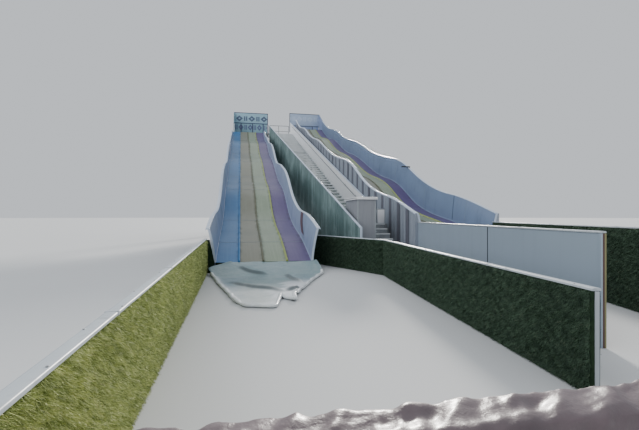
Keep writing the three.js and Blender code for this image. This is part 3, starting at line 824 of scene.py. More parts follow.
def blade() -> Piece:
    """Makes a flat turf blade, one unit long.

    Returns:
        The blade, which tapers to its tip.
    """
    clear()
    bpy.ops.mesh.primitive_plane_add(size=1, location=(0, 0.5, 0))
    piece = adopt("turf_blade")
    rows = points(piece)
    rows[rows[:, 1] > 0.5, 0] *= 0.3
    set_points(piece, rows)
    return piece


def join(name: str, pieces: Sequence[Piece]) -> Piece:
    """Joins pieces into one.

    Args:
        name: The name of the joined piece.
        pieces: The pieces.

    Returns:
        The joined piece.
    """
    take(pieces[0])
    for piece in pieces:
        piece.select_set(True)
    if len(pieces) > 1:
        bpy.ops.object.join()
    joined = bpy.context.object
    joined.name = name
    joined.data.name = name
    return joined


def points(piece: Piece, kind: str = "co") -> Rows:
    """Reads a piece's vertices.

    Args:
        piece: The piece.
        kind: What is read of each vertex, "co" for its place and "normal" for its normal.

    Returns:
        Rows of x, y and z.
    """
    flat = np.empty(len(piece.data.vertices) * 3, np.float32)
    piece.data.vertices.foreach_get(kind, flat)
    return flat.reshape(-1, 3).astype(float)


def set_points(piece: Piece, rows: Rows) -> None:
    """Moves a piece's vertices to new places."""
    piece.data.vertices.foreach_set("co", rows.astype(np.float32).ravel())
    piece.data.update()


def map_run(piece: Piece, runs: Rows) -> None:
    """Gives each vertex its place on the piece's own map.

    Args:
        piece: The piece.
        runs: Across and along position of each vertex.
    """
    layer = piece.data.uv_layers.active or piece.data.uv_layers.new(name="run")
    owner = np.empty(len(piece.data.loops), np.int32)
    piece.data.loops.foreach_get("vertex_index", owner)
    layer.data.foreach_set("uv", runs[owner].astype(np.float32).ravel())


def sweep(name: str, rings: Rows, runs: Rows | None = None) -> Piece:
    """A closed solid through rings of points, from a drum cut into as many rings.

    Args:
        name: The piece's name.
        rings: Places by ring, side and axis.
        runs: Across and along position by ring and side.

    Returns:
        The piece, with its faces outwards.
    """
    count, sides = rings.shape[:2]
    clear()
    bpy.ops.mesh.primitive_cylinder_add(vertices=sides, radius=1, depth=1, end_fill_type="NGON")
    piece = bpy.context.object
    rise = np.array([
        abs(piece.data.vertices[a].co.z - piece.data.vertices[b].co.z)
        for a, b in (edge.vertices for edge in piece.data.edges)
    ])
    bpy.context.tool_settings.mesh_select_mode = (False, True, False)
    bpy.ops.object.mode_set(mode="EDIT")
    bpy.ops.mesh.select_all(action="DESELECT")
    bpy.ops.object.mode_set(mode="OBJECT")
    for edge, height in zip(piece.data.edges, rise):
        edge.select = bool(height > 0.5)
    if count > 2:
        bpy.ops.object.mode_set(mode="EDIT")
        bpy.ops.mesh.subdivide(number_cuts=count - 2)
        bpy.ops.object.mode_set(mode="OBJECT")
    drum = points(piece)
    ring = np.rint((drum[:, 2] + 0.5) * (count - 1)).astype(int)
    turn = np.arctan2(drum[:, 0], drum[:, 1]) / (2 * math.pi / sides)
    side = np.rint(turn).astype(int) % sides
    set_points(piece, rings[ring, side])
    piece.name = name
    piece.data.name = name
    if runs is not None:
        map_run(piece, runs[ring, side])
    return outward(piece)


def skin(name: str, grid: Rows, thickness: float, runs: Rows | None = None) -> Piece:
    """A sheet through a grid of points, from a plane grid, given its thickness.

    Args:
        name: The piece's name.
        grid: Places by row, column and axis.
        thickness: Thickness in metres, kept on the middle of the sheet.
        runs: Across and along position by row and column.

    Returns:
        The piece.
    """
    rows, columns = grid.shape[:2]
    clear()
    bpy.ops.mesh.primitive_grid_add(x_subdivisions=columns - 1, y_subdivisions=rows - 1, size=1)
    piece = bpy.context.object
    flat = points(piece)
    column = np.rint((flat[:, 0] + 0.5) * (columns - 1)).astype(int)
    row = np.rint((flat[:, 1] + 0.5) * (rows - 1)).astype(int)
    set_points(piece, grid[row, column])
    piece.name = name
    piece.data.name = name
    if runs is not None:
        map_run(piece, runs[row, column])
    if thickness:
        modify(piece, "SOLIDIFY", thickness=thickness, offset=0.0)
    return piece


def scatter(
    name: str, model: Piece, places: Rows, turns: Rows | None = None,
    shades: Rows | None = None,
) -> Piece:
    """Joined copies of a small model, which is then removed.

    Args:
        name: The piece's name.
        model: The piece that is repeated.
        places: One place a copy.
        turns: One 3 by 3 turn a copy.
        shades: One tone a copy, kept as the attribute shade.

    Returns:
        The joined piece.
    """
    local = points(model)
    if turns is None:
        spread = np.broadcast_to(local, (len(places), *local.shape))
    else:
        spread = np.einsum("kij,nj->kni", turns, local)
    everything = (spread + places[:, None, :]).reshape(-1, 3)
    faces = [tuple(polygon.vertices) for polygon in model.data.polygons]
    steps = range(0, len(everything), len(local))
    mesh = bpy.data.meshes.new(name)
    mesh.from_pydata(everything, [], [tuple(step + v for v in face) for step in steps for face in faces])
    if shades is not None:
        tones = mesh.attributes.new("shade", "FLOAT", "POINT")
        tones.data.foreach_set("value", np.repeat(shades, len(local)).astype(np.float32))
    piece = bpy.data.objects.new(name, mesh)
    bpy.context.scene.collection.objects.link(piece)
    bpy.data.objects.remove(model)
    return piece


def show(piece: Piece, finish: Finish, *stands_for: str) -> Piece:
    """Gives a finished piece its material and body, and hides the nodes that it stands for.

    Args:
        piece: The finished piece.
        finish: What it is made of.
        stands_for: The CAD nodes that it replaces.

    Returns:
        The same piece.
    """
    piece.data.materials.clear()
    piece.data.materials.append(finish.material)
    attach(piece, ROOT)
    if stands_for:
        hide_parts(*stands_for)
    log.info("%s: %d faces, %s", piece.name, len(piece.data.polygons), finish.name.lower())
    return piece


def dress(node: str, finish: Finish) -> None:
    """Gives a CAD node its finish.

    Args:
        node: The node's name.
        finish: What it is made of.
    """
    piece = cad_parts[node]
    if not piece.material_slots:
        piece.data.materials.append(finish.material)
    for held in piece.material_slots:
        held.material = finish.material
    log.info("%s dressed in %s", node, finish.name.lower())


def corners(node: str) -> Rows:
    """A CAD node's own corners, each one once."""
    return np.unique(points(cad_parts[node]).round(5), axis=0)


def smooth_curve(at: Rows, knots: Rows, values: Rows) -> Rows:
    """Reads a smooth curve through knots.

    Args:
        at: Where to read it.
        knots: Rising places.
        values: The curve's value at each knot.

    Returns:
        The curve's values.
    """
    slopes = np.gradient(values, knots)
    k = np.clip(np.searchsorted(knots, at, "right") - 1, 0, len(knots) - 2)
    span = knots[k + 1] - knots[k]
    t = (at - knots[k]) / span
    ends = values[k] * (1 + 2 * t) * (1 - t) ** 2 + values[k + 1] * t * t * (3 - 2 * t)
    return ends + span * t * (1 - t) * (slopes[k] * (1 - t) - slopes[k + 1] * t)


def bell(off: Rows, width: float) -> Rows:
    """A bell curve that is 1 where off is 0."""
    return np.exp(-((off / width) ** 2))


def fall(off: Rows, steepness: float) -> Rows:
    """A smooth fall from 1 to 0 where off passes 0."""
    return 1 / (1 + np.exp(off * steepness))


def around(marks: Sequence[float], width: float) -> list[Span]:
    """A span of one width round each mark."""
    return [(at - width / 2, at + width / 2) for at in marks]


def base_plates(name: str, legs: Sequence[tuple[float, float]], floor: float = 0.0) -> tuple[Piece, Piece]:
    """Makes a base plate with four bolts for each leg.

    Args:
        name: The start of both pieces' names.
        legs: The middle of each leg.
        floor: Height of the ground.

    Returns:
        The joined plates and the joined bolts.
    """
    plates, bolts = [], []
    for number, (x, y) in enumerate(legs):
        low, high = (x - PLATE_HALF, y - PLATE_HALF, floor), (x + PLATE_HALF, y + PLATE_HALF, floor + 0.022)
        plates.append(block(f"{name}_plate_{number}", low, high, 0.004))
        offsets = (-BOLT_INSET, BOLT_INSET)
        bolts += [(x + dx, y + dy, floor + 0.03) for dx in offsets for dy in offsets]
    joined = join(f"{name}_base_plates", plates)
    return joined, scatter(f"{name}_base_bolts", bolt((0, 0, 1)), np.array(bolts))


@dataclass
class Flank:
    """One side of a chute: its edge, the way out from the lanes, and its wall's top and lean."""

    name: str
    edge: float
    out: int
    top: Rows
    lean: Rows


@dataclass
class Chute:
    """One four-lane chute. It is built across from its left edge, along from its lip and up, then placed."""

    side: str
    turn: float
    wall_finish: Finish
    lanes: tuple[Finish, ...] = (Finish.BLUE_LANE, Finish.TAN_LANE, Finish.GREEN_LANE, Finish.PURPLE_LANE)
    rings: int = 97
    sheet: float = 0.06
    trim: float = 0.11
    bolt_pitch: float = 0.4
    rib_pitch: float = 0.3
    rib_depth: float = 0.02
    skirt_gap: float = 0.08
    skirt_height: float = 2.14
    first_strip: float = 0.67
    strip_pitch: float = 0.83
    strip_width: float = 0.25
    strip_gap: float = 0.105
    first_joint: int = 2
    joint_step: int = 4
    seam_width: float = 0.012
    wall_joint: float = 2.5
    wall_joint_width: float = 0.03
    wall_joint_foot: float = 0.06
    wall_joint_lean: float = 0.0
    wall_joint_finish: Finish = Finish.WALL_JOINT
    bracket_at: float | None = None
    end_trim: Span = (-0.010, 0.056)
    end_plate: Span = (0.05, 0.112)
    end_depth: float = -0.008
    ridge: float = 0.072
    mapped: Triple = (0.0, 0.648, 0.72)

    def __post_init__(self) -> None:
        """Reads the chute's frame, wave and walls from its nodes."""
        cosine, sine = math.cos(self.turn), math.sin(self.turn)
        self.turned = np.array([[cosine, -sine, 0.0], [sine, cosine, 0.0], [0.0, 0.0, 1.0]])
        self.nodes = [f"{self.side}_lanes_{k}" for k in range(1, 5)]
        beds = np.vstack([corners(node) for node in self.nodes])
        bare = beds @ self.turned
        self.origin = self.turned @ np.array([bare[:, 0].min(), bare[:, 1].min(), 0.0])
        beds = self.local(beds)
        self.width = beds[:, 0].max()
        self.length = beds[:, 1].max()
        self.lane_width = self.width / len(self.lanes)
        walls = {way: self.local(corners(f"{self.side}_slide_{way}_wall")) for way in ("left", "right")}
        marks = len(np.unique(walls["left"][:, 1].round(2)))
        self.station = self.length / (marks - 1)
        knots = np.arange(marks) * self.station
        self.s = np.linspace(0, self.length, self.rings)
        undersides = self.by_station(beds, marks, lambda rows: rows[:, 2].min())
        self.lane = smooth_curve(self.s, knots, undersides + self.sheet)
        self.flanks = []
        for way, edge, out in (("left", 0.0, -1), ("right", self.width, 1)):
            top = self.by_station(walls[way], marks, lambda rows: rows[:, 2].max())
            reach = self.by_station(walls[way], marks, lambda rows: abs(rows[:, 0] - edge).max())
            smoothed = [smooth_curve(self.s, knots, values) for values in (top, reach - self.trim)]
            self.flanks.append(Flank(way, edge, out, *smoothed))
        self.floor = corners(f"{self.side}_lip_riser")[:, 2].min()

    def local(self, rows: Rows) -> Rows:
        """Turns places in the part's frame into the chute's own."""
        return (rows - self.origin) @ self.turned

    def by_station(self, rows: Rows, marks: int, choose: Callable[[Rows], float]) -> Rows:
        """Reads one number from the corners at each station."""
        index = np.rint(rows[:, 1] / self.station).astype(int)
        return np.array([choose(rows[index == k]) for k in range(marks)])

    def place(self, piece: Piece) -> Piece:
        """Moves a piece from the chute's own frame to the part's."""
        set_points(piece, points(piece) @ self.turned.T + self.origin)
        return piece

    def fit(self, piece: Piece, finish: Finish, *stands_for: str) -> None:
        """Places a piece and gives it its finish, and the nodes that it replaces."""
        show(self.place(piece), finish, *stands_for)

    def bed(self, along: Run) -> Run:
        """Height of the lanes at a distance from the lip."""
        return np.interp(along, self.s, self.lane)

    def crest(self, flank: Flank, along: Run) -> Run:
        """Height of a wall's crest at a distance from the lip."""
        return np.interp(along, self.s, flank.top)

    def beyond(self, flank: Flank, along: Run, gap: Run) -> Run:
        """Across position at a gap beyond a wall's crest."""
        return flank.edge + flank.out * (np.interp(along, self.s, flank.lean) + gap)

    def rings_of(self, section: Sequence[tuple[Run, Run]]) -> Rows:
        """Carries a section along the chute.

        Args:
            section: Across and height of each corner, each a number or one number a ring.

        Returns:
            Places by ring, corner and axis.
        """
        rings = np.empty((self.rings, len(section), 3))
        for k, (across, up) in enumerate(section):
            rings[:, k, 0] = across
            rings[:, k, 1] = self.s
            rings[:, k, 2] = up
        return rings

    def wall_line(self, flank: Flank, along: float, shares: Rows, proud: float = 0.002) -> Rows:
        """Follows a wall's inner face upwards.

        Args:
            flank: The wall's side.
            along: Distance from the lip.
            shares: Shares of the wall's height.
            proud: How far in front of the face the line runs.

        Returns:
            Across and up positions.
        """
        bed = float(self.bed(along))
        rise = float(self.crest(flank, along)) - bed
        lean = float(np.interp(along, self.s, flank.lean))
        return np.column_stack([flank.edge + flank.out * (lean * shares ** 1.5 - proud), bed + rise * shares])

    def build(self) -> None:
        """Builds the whole chute."""
        self.build_lanes()
        for flank in self.flanks:
            self.build_wall(flank)
            self.build_skirt(flank)
        self.build_joints()
        self.build_wall_joint()
        self.build_end_trims()
        self.build_lip()
        self.build_trestles()

    def build_lanes(self) -> None:
        """Four coloured lanes, each with a rounded ridge on its right but the last."""
        flat = self.lane_width - self.ridge
        travelled = np.concatenate([[0], np.cumsum(np.hypot(np.diff(self.s), np.diff(self.lane)))])
        for k, finish in enumerate(self.lanes):
            left, right = k * self.lane_width, (k + 1) * self.lane_width
            section = [(left + share * self.lane_width, up) for share, up in LANE_DISH]
            if k < len(self.lanes) - 1:
                section += [(right + across, up) for across, up in LANE_RIDGE]
            section += [(right, 0.0), (right, -self.sheet), (left, -self.sheet)]
            rings = self.rings_of([(across, self.lane + up) for across, up in section])
            runs = np.empty((self.rings, len(section), 2))
            places = [across - left for across, _ in section]
            runs[:, :, 0] = np.interp(places, (0, flat, self.lane_width), self.mapped)
            runs[:, :, 1] = travelled[:, None]
            lane = sweep(f"{self.side}_{finish.name.lower()}", rings, runs)
            self.fit(smooth(lane, 50), finish, *self.nodes)

    def build_wall(self, flank: Flank) -> None:
        """Builds a side wall that curves out of the lanes, with its rolled trim and the trim's bolts.

        Args:
            flank: The wall's side.
        """
        rise = flank.top - self.lane
        face = [(flank.lean * share ** 1.5, rise * share) for share in WALL_SHARES]
        shell = [*WALL_FOOT, *face, *((reach + WALL_THICKNESS, up) for reach, up in reversed(face))]
        shell += [(WALL_THICKNESS, -EDGE_BEAM), (0.0, -EDGE_BEAM)]
        section = [(flank.edge + flank.out * reach, self.lane + up) for reach, up in shell]
        node = f"{self.side}_slide_{flank.name}_wall"
        wall = sweep(f"{self.side}_{flank.name}_side_wall", self.rings_of(section))
        self.fit(smooth(wall, 50), self.wall_finish, node)
        section = [(flank.edge + flank.out * (flank.lean + reach), flank.top + up) for reach, up in TRIM_ROLL]
        trim = sweep(f"{self.side}_{flank.name}_wall_trim", self.rings_of(section))
        self.fit(smooth(trim, 50), Finish.TRIM, node)
        along = np.arange(0.2, self.length, self.bolt_pitch)
        places = np.column_stack([self.beyond(flank, along, 0.116), along, self.crest(flank, along) - 0.031])
        name = f"{self.side}_{flank.name}_trim_bolts"
        self.fit(scatter(name, bolt((1, 0, 0), 0.011, 0.01), places), Finish.STEEL)

    def skirt_start(self, flank: Flank) -> float:
        """Distance from the lip at which a side's skirt begins."""
        return float(self.local(corners(f"{self.side}_slide_{flank.name}_skirt"))[:, 1].min())

    def build_skirt(self, flank: Flank) -> None:
        """Builds the ribbed sheet below the trim, with dark sheets between the lighter ones.

        Args:
            flank: The skirt's side.
        """
        first = self.skirt_start(flank)
        starts = np.arange(first, self.length - self.rib_pitch, self.rib_pitch)
        along = (starts[:, None] + np.array([0.0, 0.4, 0.5, 0.9]) * self.rib_pitch).ravel()
        wave = np.tile([1.0, 1.0, 0.0, 0.0], len(starts))
        across = self.beyond(flank, along, self.skirt_gap + self.rib_depth * wave)
        top = self.crest(flank, along) - 0.045
        bottom = np.maximum(self.floor + 0.01, top - self.skirt_height)
        levels = (bottom, (bottom + top) / 2, top)
        grid = np.stack([np.column_stack([across, along, level]) for level in levels], axis=1)
        sheet = skin(f"{self.side}_{flank.name}_skirt_sheet", grid, 0.004)
        self.fit(sheet, Finish.SKIRT, f"{self.side}_slide_{flank.name}_skirt")
        strips = []
        marks = np.arange(self.first_strip, self.length - self.strip_width, self.strip_pitch)
        marks = marks[marks > first + self.strip_width / 2]
        for number, ends in enumerate(np.array(around(marks, self.strip_width))):
            across = self.beyond(flank, ends, self.strip_gap)
            levels = [np.interp(ends, along, level) for level in (bottom, top)]
            grid = np.stack([np.column_stack([across, ends, level]) for level in levels], axis=1)
            strips.append(skin(f"{self.side}_{flank.name}_strip_{number}", grid, 0.004))
        self.fit(join(f"{self.side}_{flank.name}_skirt_strips", strips), Finish.STRIP)

    def build_joints(self) -> None:
        """A sealed seam down one wall, over the lanes and up the other where two bolted sections meet."""
        shares = np.linspace(0.97, 0.12, 8)
        seams = []
        last = round(self.length / self.station)
        marks = np.arange(self.first_joint, last, self.joint_step) * self.station
        for number, ends in enumerate(around(marks, self.seam_width)):
            grid = []
            for along in ends:
                bed = float(self.bed(along))
                left, right = (
                    [*self.wall_line(flank, along, shares), (flank.edge - flank.out * 0.02, bed + 0.008)]
                    for flank in self.flanks
                )
                edges = [lane * self.lane_width for lane in range(1, len(self.lanes))]
                middle = [(edge + across, bed + up) for edge in edges for across, up in SEAM_RIDGE]
                grid.append([(across, along, up) for across, up in left + middle + right[::-1]])
            seams.append(skin(f"{self.side}_seam_{number}", np.array(grid), 0.003))
        self.fit(join(f"{self.side}_section_seams", seams), Finish.SEAM)

    def build_wall_joint(self) -> None:
        """The sheet joint down the right wall near the lip, and the bracket on its crest."""
        flank = self.flanks[1]
        shares = np.linspace(0.985, self.wall_joint_foot, 10)
        grid = []
        for along in around([self.wall_joint], self.wall_joint_width)[0]:
            sloped = along - (1 - shares) ** 2 * self.wall_joint_lean
            line = self.wall_line(flank, along, shares, 0.006)
            grid.append(np.column_stack([line[:, 0], sloped, line[:, 1]]))
        self.fit(skin(f"{self.side}_wall_joint", np.array(grid), 0.004), self.wall_joint_finish)
        if self.bracket_at is None:
            return
        inner, top = self.wall_line(flank, self.bracket_at, np.array([1.0]))[0]
        low = (inner - 0.34, self.bracket_at - 0.05, top + 0.006)
        high = (inner + 0.10, self.bracket_at + 0.05, top + 0.055)
        self.fit(block(f"{self.side}_wall_bracket", low, high, 0.008), Finish.JOINT)

    def build_end_trims(self) -> None:
        """A white edge strip down each wall's end at the lip, and a plate that closes the skirt's end."""
        strips, plates = [], []
        for flank in self.flanks:
            name = f"{self.side}_{flank.name}_end"
            line = self.wall_line(flank, 0.0, np.linspace(1.0, 0.0, 9), 0.0)
            sides = [line[:, 0] + flank.out * reach for reach in self.end_trim]
            strips.append(skin(f"{name}_trim", self.end_grid(sides, line[:, 1]), 0.016))
            hung = self.skirt_start(flank) < self.rib_pitch
            line = line[0 if hung else -1:]
            inner = np.append(line[:, 0] + flank.out * self.end_plate[0], flank.edge)
            lean = flank.lean[0] if hung else 0.0
            outer = np.full(len(inner), flank.edge + flank.out * (lean + self.end_plate[1]))
            levels = np.append(line[:, 1], self.floor + 0.004)
            plates.append(skin(f"{name}_plate", self.end_grid([inner, outer], levels), 0.01))
        self.fit(join(f"{self.side}_wall_end_trims", strips), Finish.TRIM)
        self.fit(join(f"{self.side}_skirt_end_plates", plates), Finish.SKIRT)

    def end_grid(self, sides: Sequence[Rows], levels: Rows) -> Rows:
        """Points of an upright sheet across the lip, between two lines over the same levels."""
        return np.stack([np.column_stack([side, np.full(len(side), self.end_depth), levels]) for side in sides])

    def build_lip(self) -> None:
        """The turf flap on the riser below the lip, up to the lanes' edge; flap and riser are dark with painted
        shade.
        """
        low, high = (0.0, -0.009, self.floor + 0.004), (self.width, -0.001, float(self.lane[0]) - 0.006)
        self.fit(block(f"{self.side}_lip_flap", low, high, 0.003), Finish.DARK_BACKING)
        dress(f"{self.side}_lip_riser", Finish.DARK_BACKING)

    def build_trestles(self) -> None:
        """Finishes the trestles and gives their legs base plates with bolts."""
        legs = []
        for number in (1, 2, 3):
            node = f"{self.side}_trestle_{number}"
            dress(node, Finish.STEEL)
            rows = self.local(corners(node))
            low, high = rows.min(axis=0), rows.max(axis=0)
            legs += [(across, (low[1] + high[1]) / 2) for across in (low[0] + LEG_HALF, high[0] - LEG_HALF)]
        for piece in base_plates(self.side, legs, self.floor):
            self.fit(piece, Finish.STEEL)


@dataclass
class StartScreen:
    """The painted screen behind one start platform, with its frame, panels and side screen."""

    chute: Chute
    board: Finish
    panels: Finish
    frame_finish: Finish
    rail_height: float
    posts: tuple[float, ...]
    tube: float = 0.06
    inset: float = 0.012

    def build(self) -> None:
        """Builds the upper board, the lower panels and the tubes between them."""
        side, rail, tube = self.chute.side, self.rail_height, self.tube
        node = f"{side}_start_screen"
        rows = self.chute.local(corners(node))
        low, high = rows.min(axis=0), rows.max(axis=0)
        face, back = low[1] + self.inset, high[1] - self.inset
        ends = (low[0] + tube, face, rail + 0.02), (high[0] - tube, back, high[2] - tube)
        self.chute.fit(block(f"{side}_screen_board", *ends, 0.004), self.board, node)
        edges = [low[0] + tube, *self.posts, high[0] - tube]
        lower = []
        for number, (left, right) in enumerate(zip(edges, edges[1:])):
            ends = (left + 0.02, face, low[2] + 0.08), (right - 0.02, back, rail - 0.05)
            lower.append(block(f"{side}_screen_panel_{number}", *ends, 0.006))
        self.chute.fit(join(f"{side}_screen_panels", lower), self.panels, node)
        bars = [(across, across + tube, low[2], high[2]) for across in (low[0], high[0] - tube)]
        bars += [(across - 0.04, across + 0.04, low[2], rail) for across in self.posts]
        levels = (low[2], low[2] + tube), (rail - 0.05, rail + 0.02), (high[2] - tube, high[2])
        bars += [(low[0], high[0], bottom, top) for bottom, top in levels]
        tubes = []
        for number, (left, right, bottom, top) in enumerate(bars):
            ends = (left, low[1], bottom), (right, high[1], top)
            tubes.append(block(f"{side}_screen_tube_{number}", *ends, 0.006))
        self.chute.fit(join(f"{side}_screen_frame", tubes), self.frame_finish, node)
        dress(f"{side}_side_screen", self.panels)


@dataclass
class StraightWall:
    """The line and levels of a straight wall, read from its node."""

    node: str

    def __post_init__(self) -> None:
        """Splits the wall's corners between its near and far end."""
        rows = corners(self.node)
        middle = (rows[:, 1].min() + rows[:, 1].max()) / 2
        near, far = rows[rows[:, 1] < middle], rows[rows[:, 1] >= middle]
        self.start = np.array([near[:, 0].mean(), near[:, 1].mean()])
        self.end = np.array([far[:, 0].mean(), far[:, 1].mean()])
        self.length = float(np.hypot(*(self.end - self.start)))
        self.along = (self.end - self.start) / self.length
        self.across = np.array([self.along[1], -self.along[0]])
        self.bottoms = (near[:, 2].min(), far[:, 2].min())
        self.tops = (near[:, 2].max(), far[:, 2].max())

    def top(self, at: Run) -> Run:
        """The wall's top at a distance from its near end."""
        return np.interp(at, (0, self.length), self.tops)

    def bottom(self, at: Run) -> Run:
        """The wall's bottom at a distance from its near end."""
        return np.interp(at, (0, self.length), self.bottoms)

    def between(self, foot: float, drop: float) -> Rise:
        """The levels from a foot's height to a drop below the wall's top."""
        return lambda at: (foot, self.top(at) - drop)

    def spot(self, at: Run, out: Run, up: Run) -> Rows:
        """Finds places by the wall's own directions.

        Args:
            at: Distance from the near end.
            out: Distance to the right of the wall's middle.
            up: Height.

        Returns:
            The places in the part's frame.
        """
        at, out, up = np.broadcast_arrays(at, out, up)
        flat = self.start + at[..., None] * self.along + out[..., None] * self.across
        return np.concatenate([flat, up[..., None]], axis=-1)

    def slab(self, name: str, at: Span, out: Span, rise: Rise, bevel: float = 0.004) -> Piece:
        """A flat length of the wall between two distances.

        Args:
            name: The piece's name.
            at: Its near and far distance along the wall.
            out: Its left and right distance from the wall's middle.
            rise: Its bottom and top at a distance.
            bevel: How much its edges are softened.

        Returns:
            The piece.
        """
        piece = block(name, (0, 0, 0), (1, 1, 1), 0)
        places = []
        for x, y, z in points(piece) > 0.5:
            where = at[int(x)]
            places.append(self.spot(where, out[int(y)], rise(where)[int(z)]))
        set_points(piece, np.array(places))
        outward(piece)
        if bevel:
            modify(piece, "BEVEL", width=bevel, segments=2, limit_method="ANGLE")
        return smooth(piece)

    def row(
        self, name: str, spans: Sequence[Span], out: Span, rise: Rise, bevel: float, finish: Finish,
        *stands_for: str,
    ) -> None:
        """Shows flat lengths of the wall, if there are any, as one piece.

        Args:
            name: The piece's name.
            spans: Near and far distance of each length.
            out: Left and right distance from the wall's middle.
            rise: Bottom and top at a distance.
            bevel: How much the edges are softened.
            finish: What it is made of.
            stands_for: The CAD nodes that it replaces.
        """
        slabs = [self.slab(f"{name}_{k}", span, out, rise, bevel) for k, span in enumerate(spans)]
        if slabs:
            show(join(name, slabs), finish, *stands_for)

    def cap(self, name: str, section: Sequence[Span], finish: Finish) -> None:
        """Carries a cap along the wall's top, in place of its node's.

        Args:
            name: The piece's name.
            section: Out and up of each corner, measured from the wall's top.
            finish: What it is made of.
        """
        marks = np.linspace(0, self.length, 24)
        rings = np.array([[self.spot(at, out, self.top(at) + up) for out, up in section] for at in marks])
        show(smooth(sweep(name, rings), 50), finish, self.node)


@dataclass
class Stair:
    """The stair between the chutes: ribbed wall, parapet, treads, landing, steps and handrails."""

    rib_pitch: float = 0.25
    rib_depth: float = 0.03
    sleeve_pitch: float = 3.0
    screw_pitch: float = 1.1
    panel_length: float = 2.06
    post_width: float = 0.05
    risers: int = 11
    flights: int = 4
    stringer: float = 0.26
    tread: float = 0.43
    tread_gap: float = 0.085
    entry_risers: int = 8
    rim: float = 0.035
    rail_gap: float = 0.09
    rail_height: float = 0.9
    brackets: int = 12

    def build(self) -> None:
        """Builds every part of the stair."""
        self.ribbed = StraightWall("stair_ribbed_wall")
        self.parapet = StraightWall("stair_parapet")
        self.build_ribbed_wall()
        self.build_parapet()
        self.build_treads()
        self.build_entry()
        self.build_panel()
        self.build_handrails()

    def build_ribbed_wall(self) -> None:
        """Ribbed sheet, its screws, the straight cap with sleeves, and the end post."""
        wall = self.ribbed
        starts = np.arange(0, wall.length - self.rib_pitch, self.rib_pitch)
        along = (starts[:, None] + np.array([0.06, 0.3, 0.44, 0.94]) * self.rib_pitch).ravel()
        along = np.concatenate([[0.0], along, [wall.length]])
        wave = np.concatenate([[0.0], np.tile([1.0, 1.0, 0.0, 0.0], len(starts)), [0.0]])
        out = (0.5 - wave) * self.rib_depth
        top = wall.top(along) - 0.04
        levels = (np.full_like(top, 0.02), top / 2, top)
        grid = np.stack([wall.spot(along, out, level) for level in levels], axis=1)
        show(skin("stair_ribbed_sheet", grid, 0.004), Finish.RIBBED, wall.node)
        wall.cap("stair_ribbed_wall_cap", STAIR_CAP, Finish.TRIM)
        wall.row(
            "stair_end_post", [(-0.03, 0.03)], (-0.032, 0.032),
            lambda at: (0.0, wall.tops[0] + 0.005), 0.006, Finish.TRIM,
        )
        spans = around(np.arange(self.sleeve_pitch, wall.length, self.sleeve_pitch), 0.08)
        wall.row(
            "stair_wall_cap_sleeves", spans, (-0.041, 0.041),
            lambda at: (wall.top(at) - 0.049, wall.top(at) + 0.004), 0.004, Finish.TRIM,
        )
        rows = []
        for at in starts + self.rib_pitch * 0.18:
            drops = np.arange(0.14, wall.top(at) - 0.1, self.screw_pitch)
            rows += [wall.spot(at, -0.0195, wall.top(at) - drop) for drop in drops]
        screws = scatter("stair_sheet_screws", bolt((1, 0, 0), 0.009, 0.008), np.array(rows))
        show(screws, Finish.STEEL)

    def build_parapet(self) -> None:
        """Plain sheets between posts, a cap and a lower rail, with the middle posts reaching a little below."""
        wall = self.parapet
        count = round(wall.length / self.panel_length)
        pitch = wall.length / count
        spans = [(k * pitch + 0.001, (k + 1) * pitch - 0.001) for k in range(count)]
        wall.row(
            "stair_parapet_sheets", spans, (-0.014, 0.006),
            lambda at: (wall.bottom(at) + 0.03, wall.top(at) - 0.05), 0, Finish.PARAPET, wall.node,
        )
        wall.cap("stair_parapet_cap", PARAPET_CAP, Finish.TRIM)
        framing = []
        marks = np.clip(np.arange(count + 1) * pitch, 0.03, wall.length - 0.03)
        for k, span in enumerate(around(marks, self.post_width)):
            foot = wall.bottom(marks[k]) - (0.24 if 0 < k < count else 0.0)
            framing.append(wall.slab(f"parapet_post_{k}", span, (0.006, 0.045), wall.between(foot, 0.05), 0.005))
        framing.append(wall.slab(
            "parapet_low_rail", (0, wall.length), (0.004, 0.045),
            lambda at: (wall.bottom(at), wall.bottom(at) + 0.045),
        ))
        show(join("stair_parapet_frame", framing), Finish.RAIL, wall.node)

    def build_treads(self) -> None:
        """Chequer plate with a nosing on each tread of the flights."""
        plates, noses = [], []
        for number in range(1, self.flights + 1):
            node = f"stair_flight_{number}"
            # The flights' steel is the pale copy with painted light.
            dress(node, Finish.PALE_LIT_STEEL)
            rows = corners(node)
            low, high = rows.min(axis=0), rows.max(axis=0)
            going = (high[1] - low[1]) / self.risers
            riser = (high[2] - low[2] - self.stringer) / self.risers
            for k in range(self.risers):
                front = low[1] + going * k + (going - self.tread) / 2
                back = front + self.tread
                level = low[2] + self.stringer + riser * (k + 0.5)
                left = self.edge_x(self.ribbed, front) + self.tread_gap
                right = self.edge_x(self.parapet, back) - self.tread_gap
                ends = (left, front, level), (right, back, level + 0.006)
                plates.append(block(f"tread_{number}_{k}", *ends, 0.002))
                ends = (left, front - 0.012, level - 0.042), (right, front + 0.03, level + 0.012)
                noses.append(block(f"nose_{number}_{k}", *ends, 0.005))
        show(join("stair_tread_plates", plates), Finish.PLATE)
        show(join("stair_tread_nosings", noses), Finish.PALE_LIT_NOSING)
        for number in (1, 2):
            dress(f"stair_trestle_{number}", Finish.STEEL)

    @staticmethod
    def edge_x(wall: StraightWall, y: float) -> float:
        """Across position of a wall's middle at a distance up the stair."""
        return float(np.interp(y, (wall.start[1], wall.end[1]), (wall.start[0], wall.end[0])))

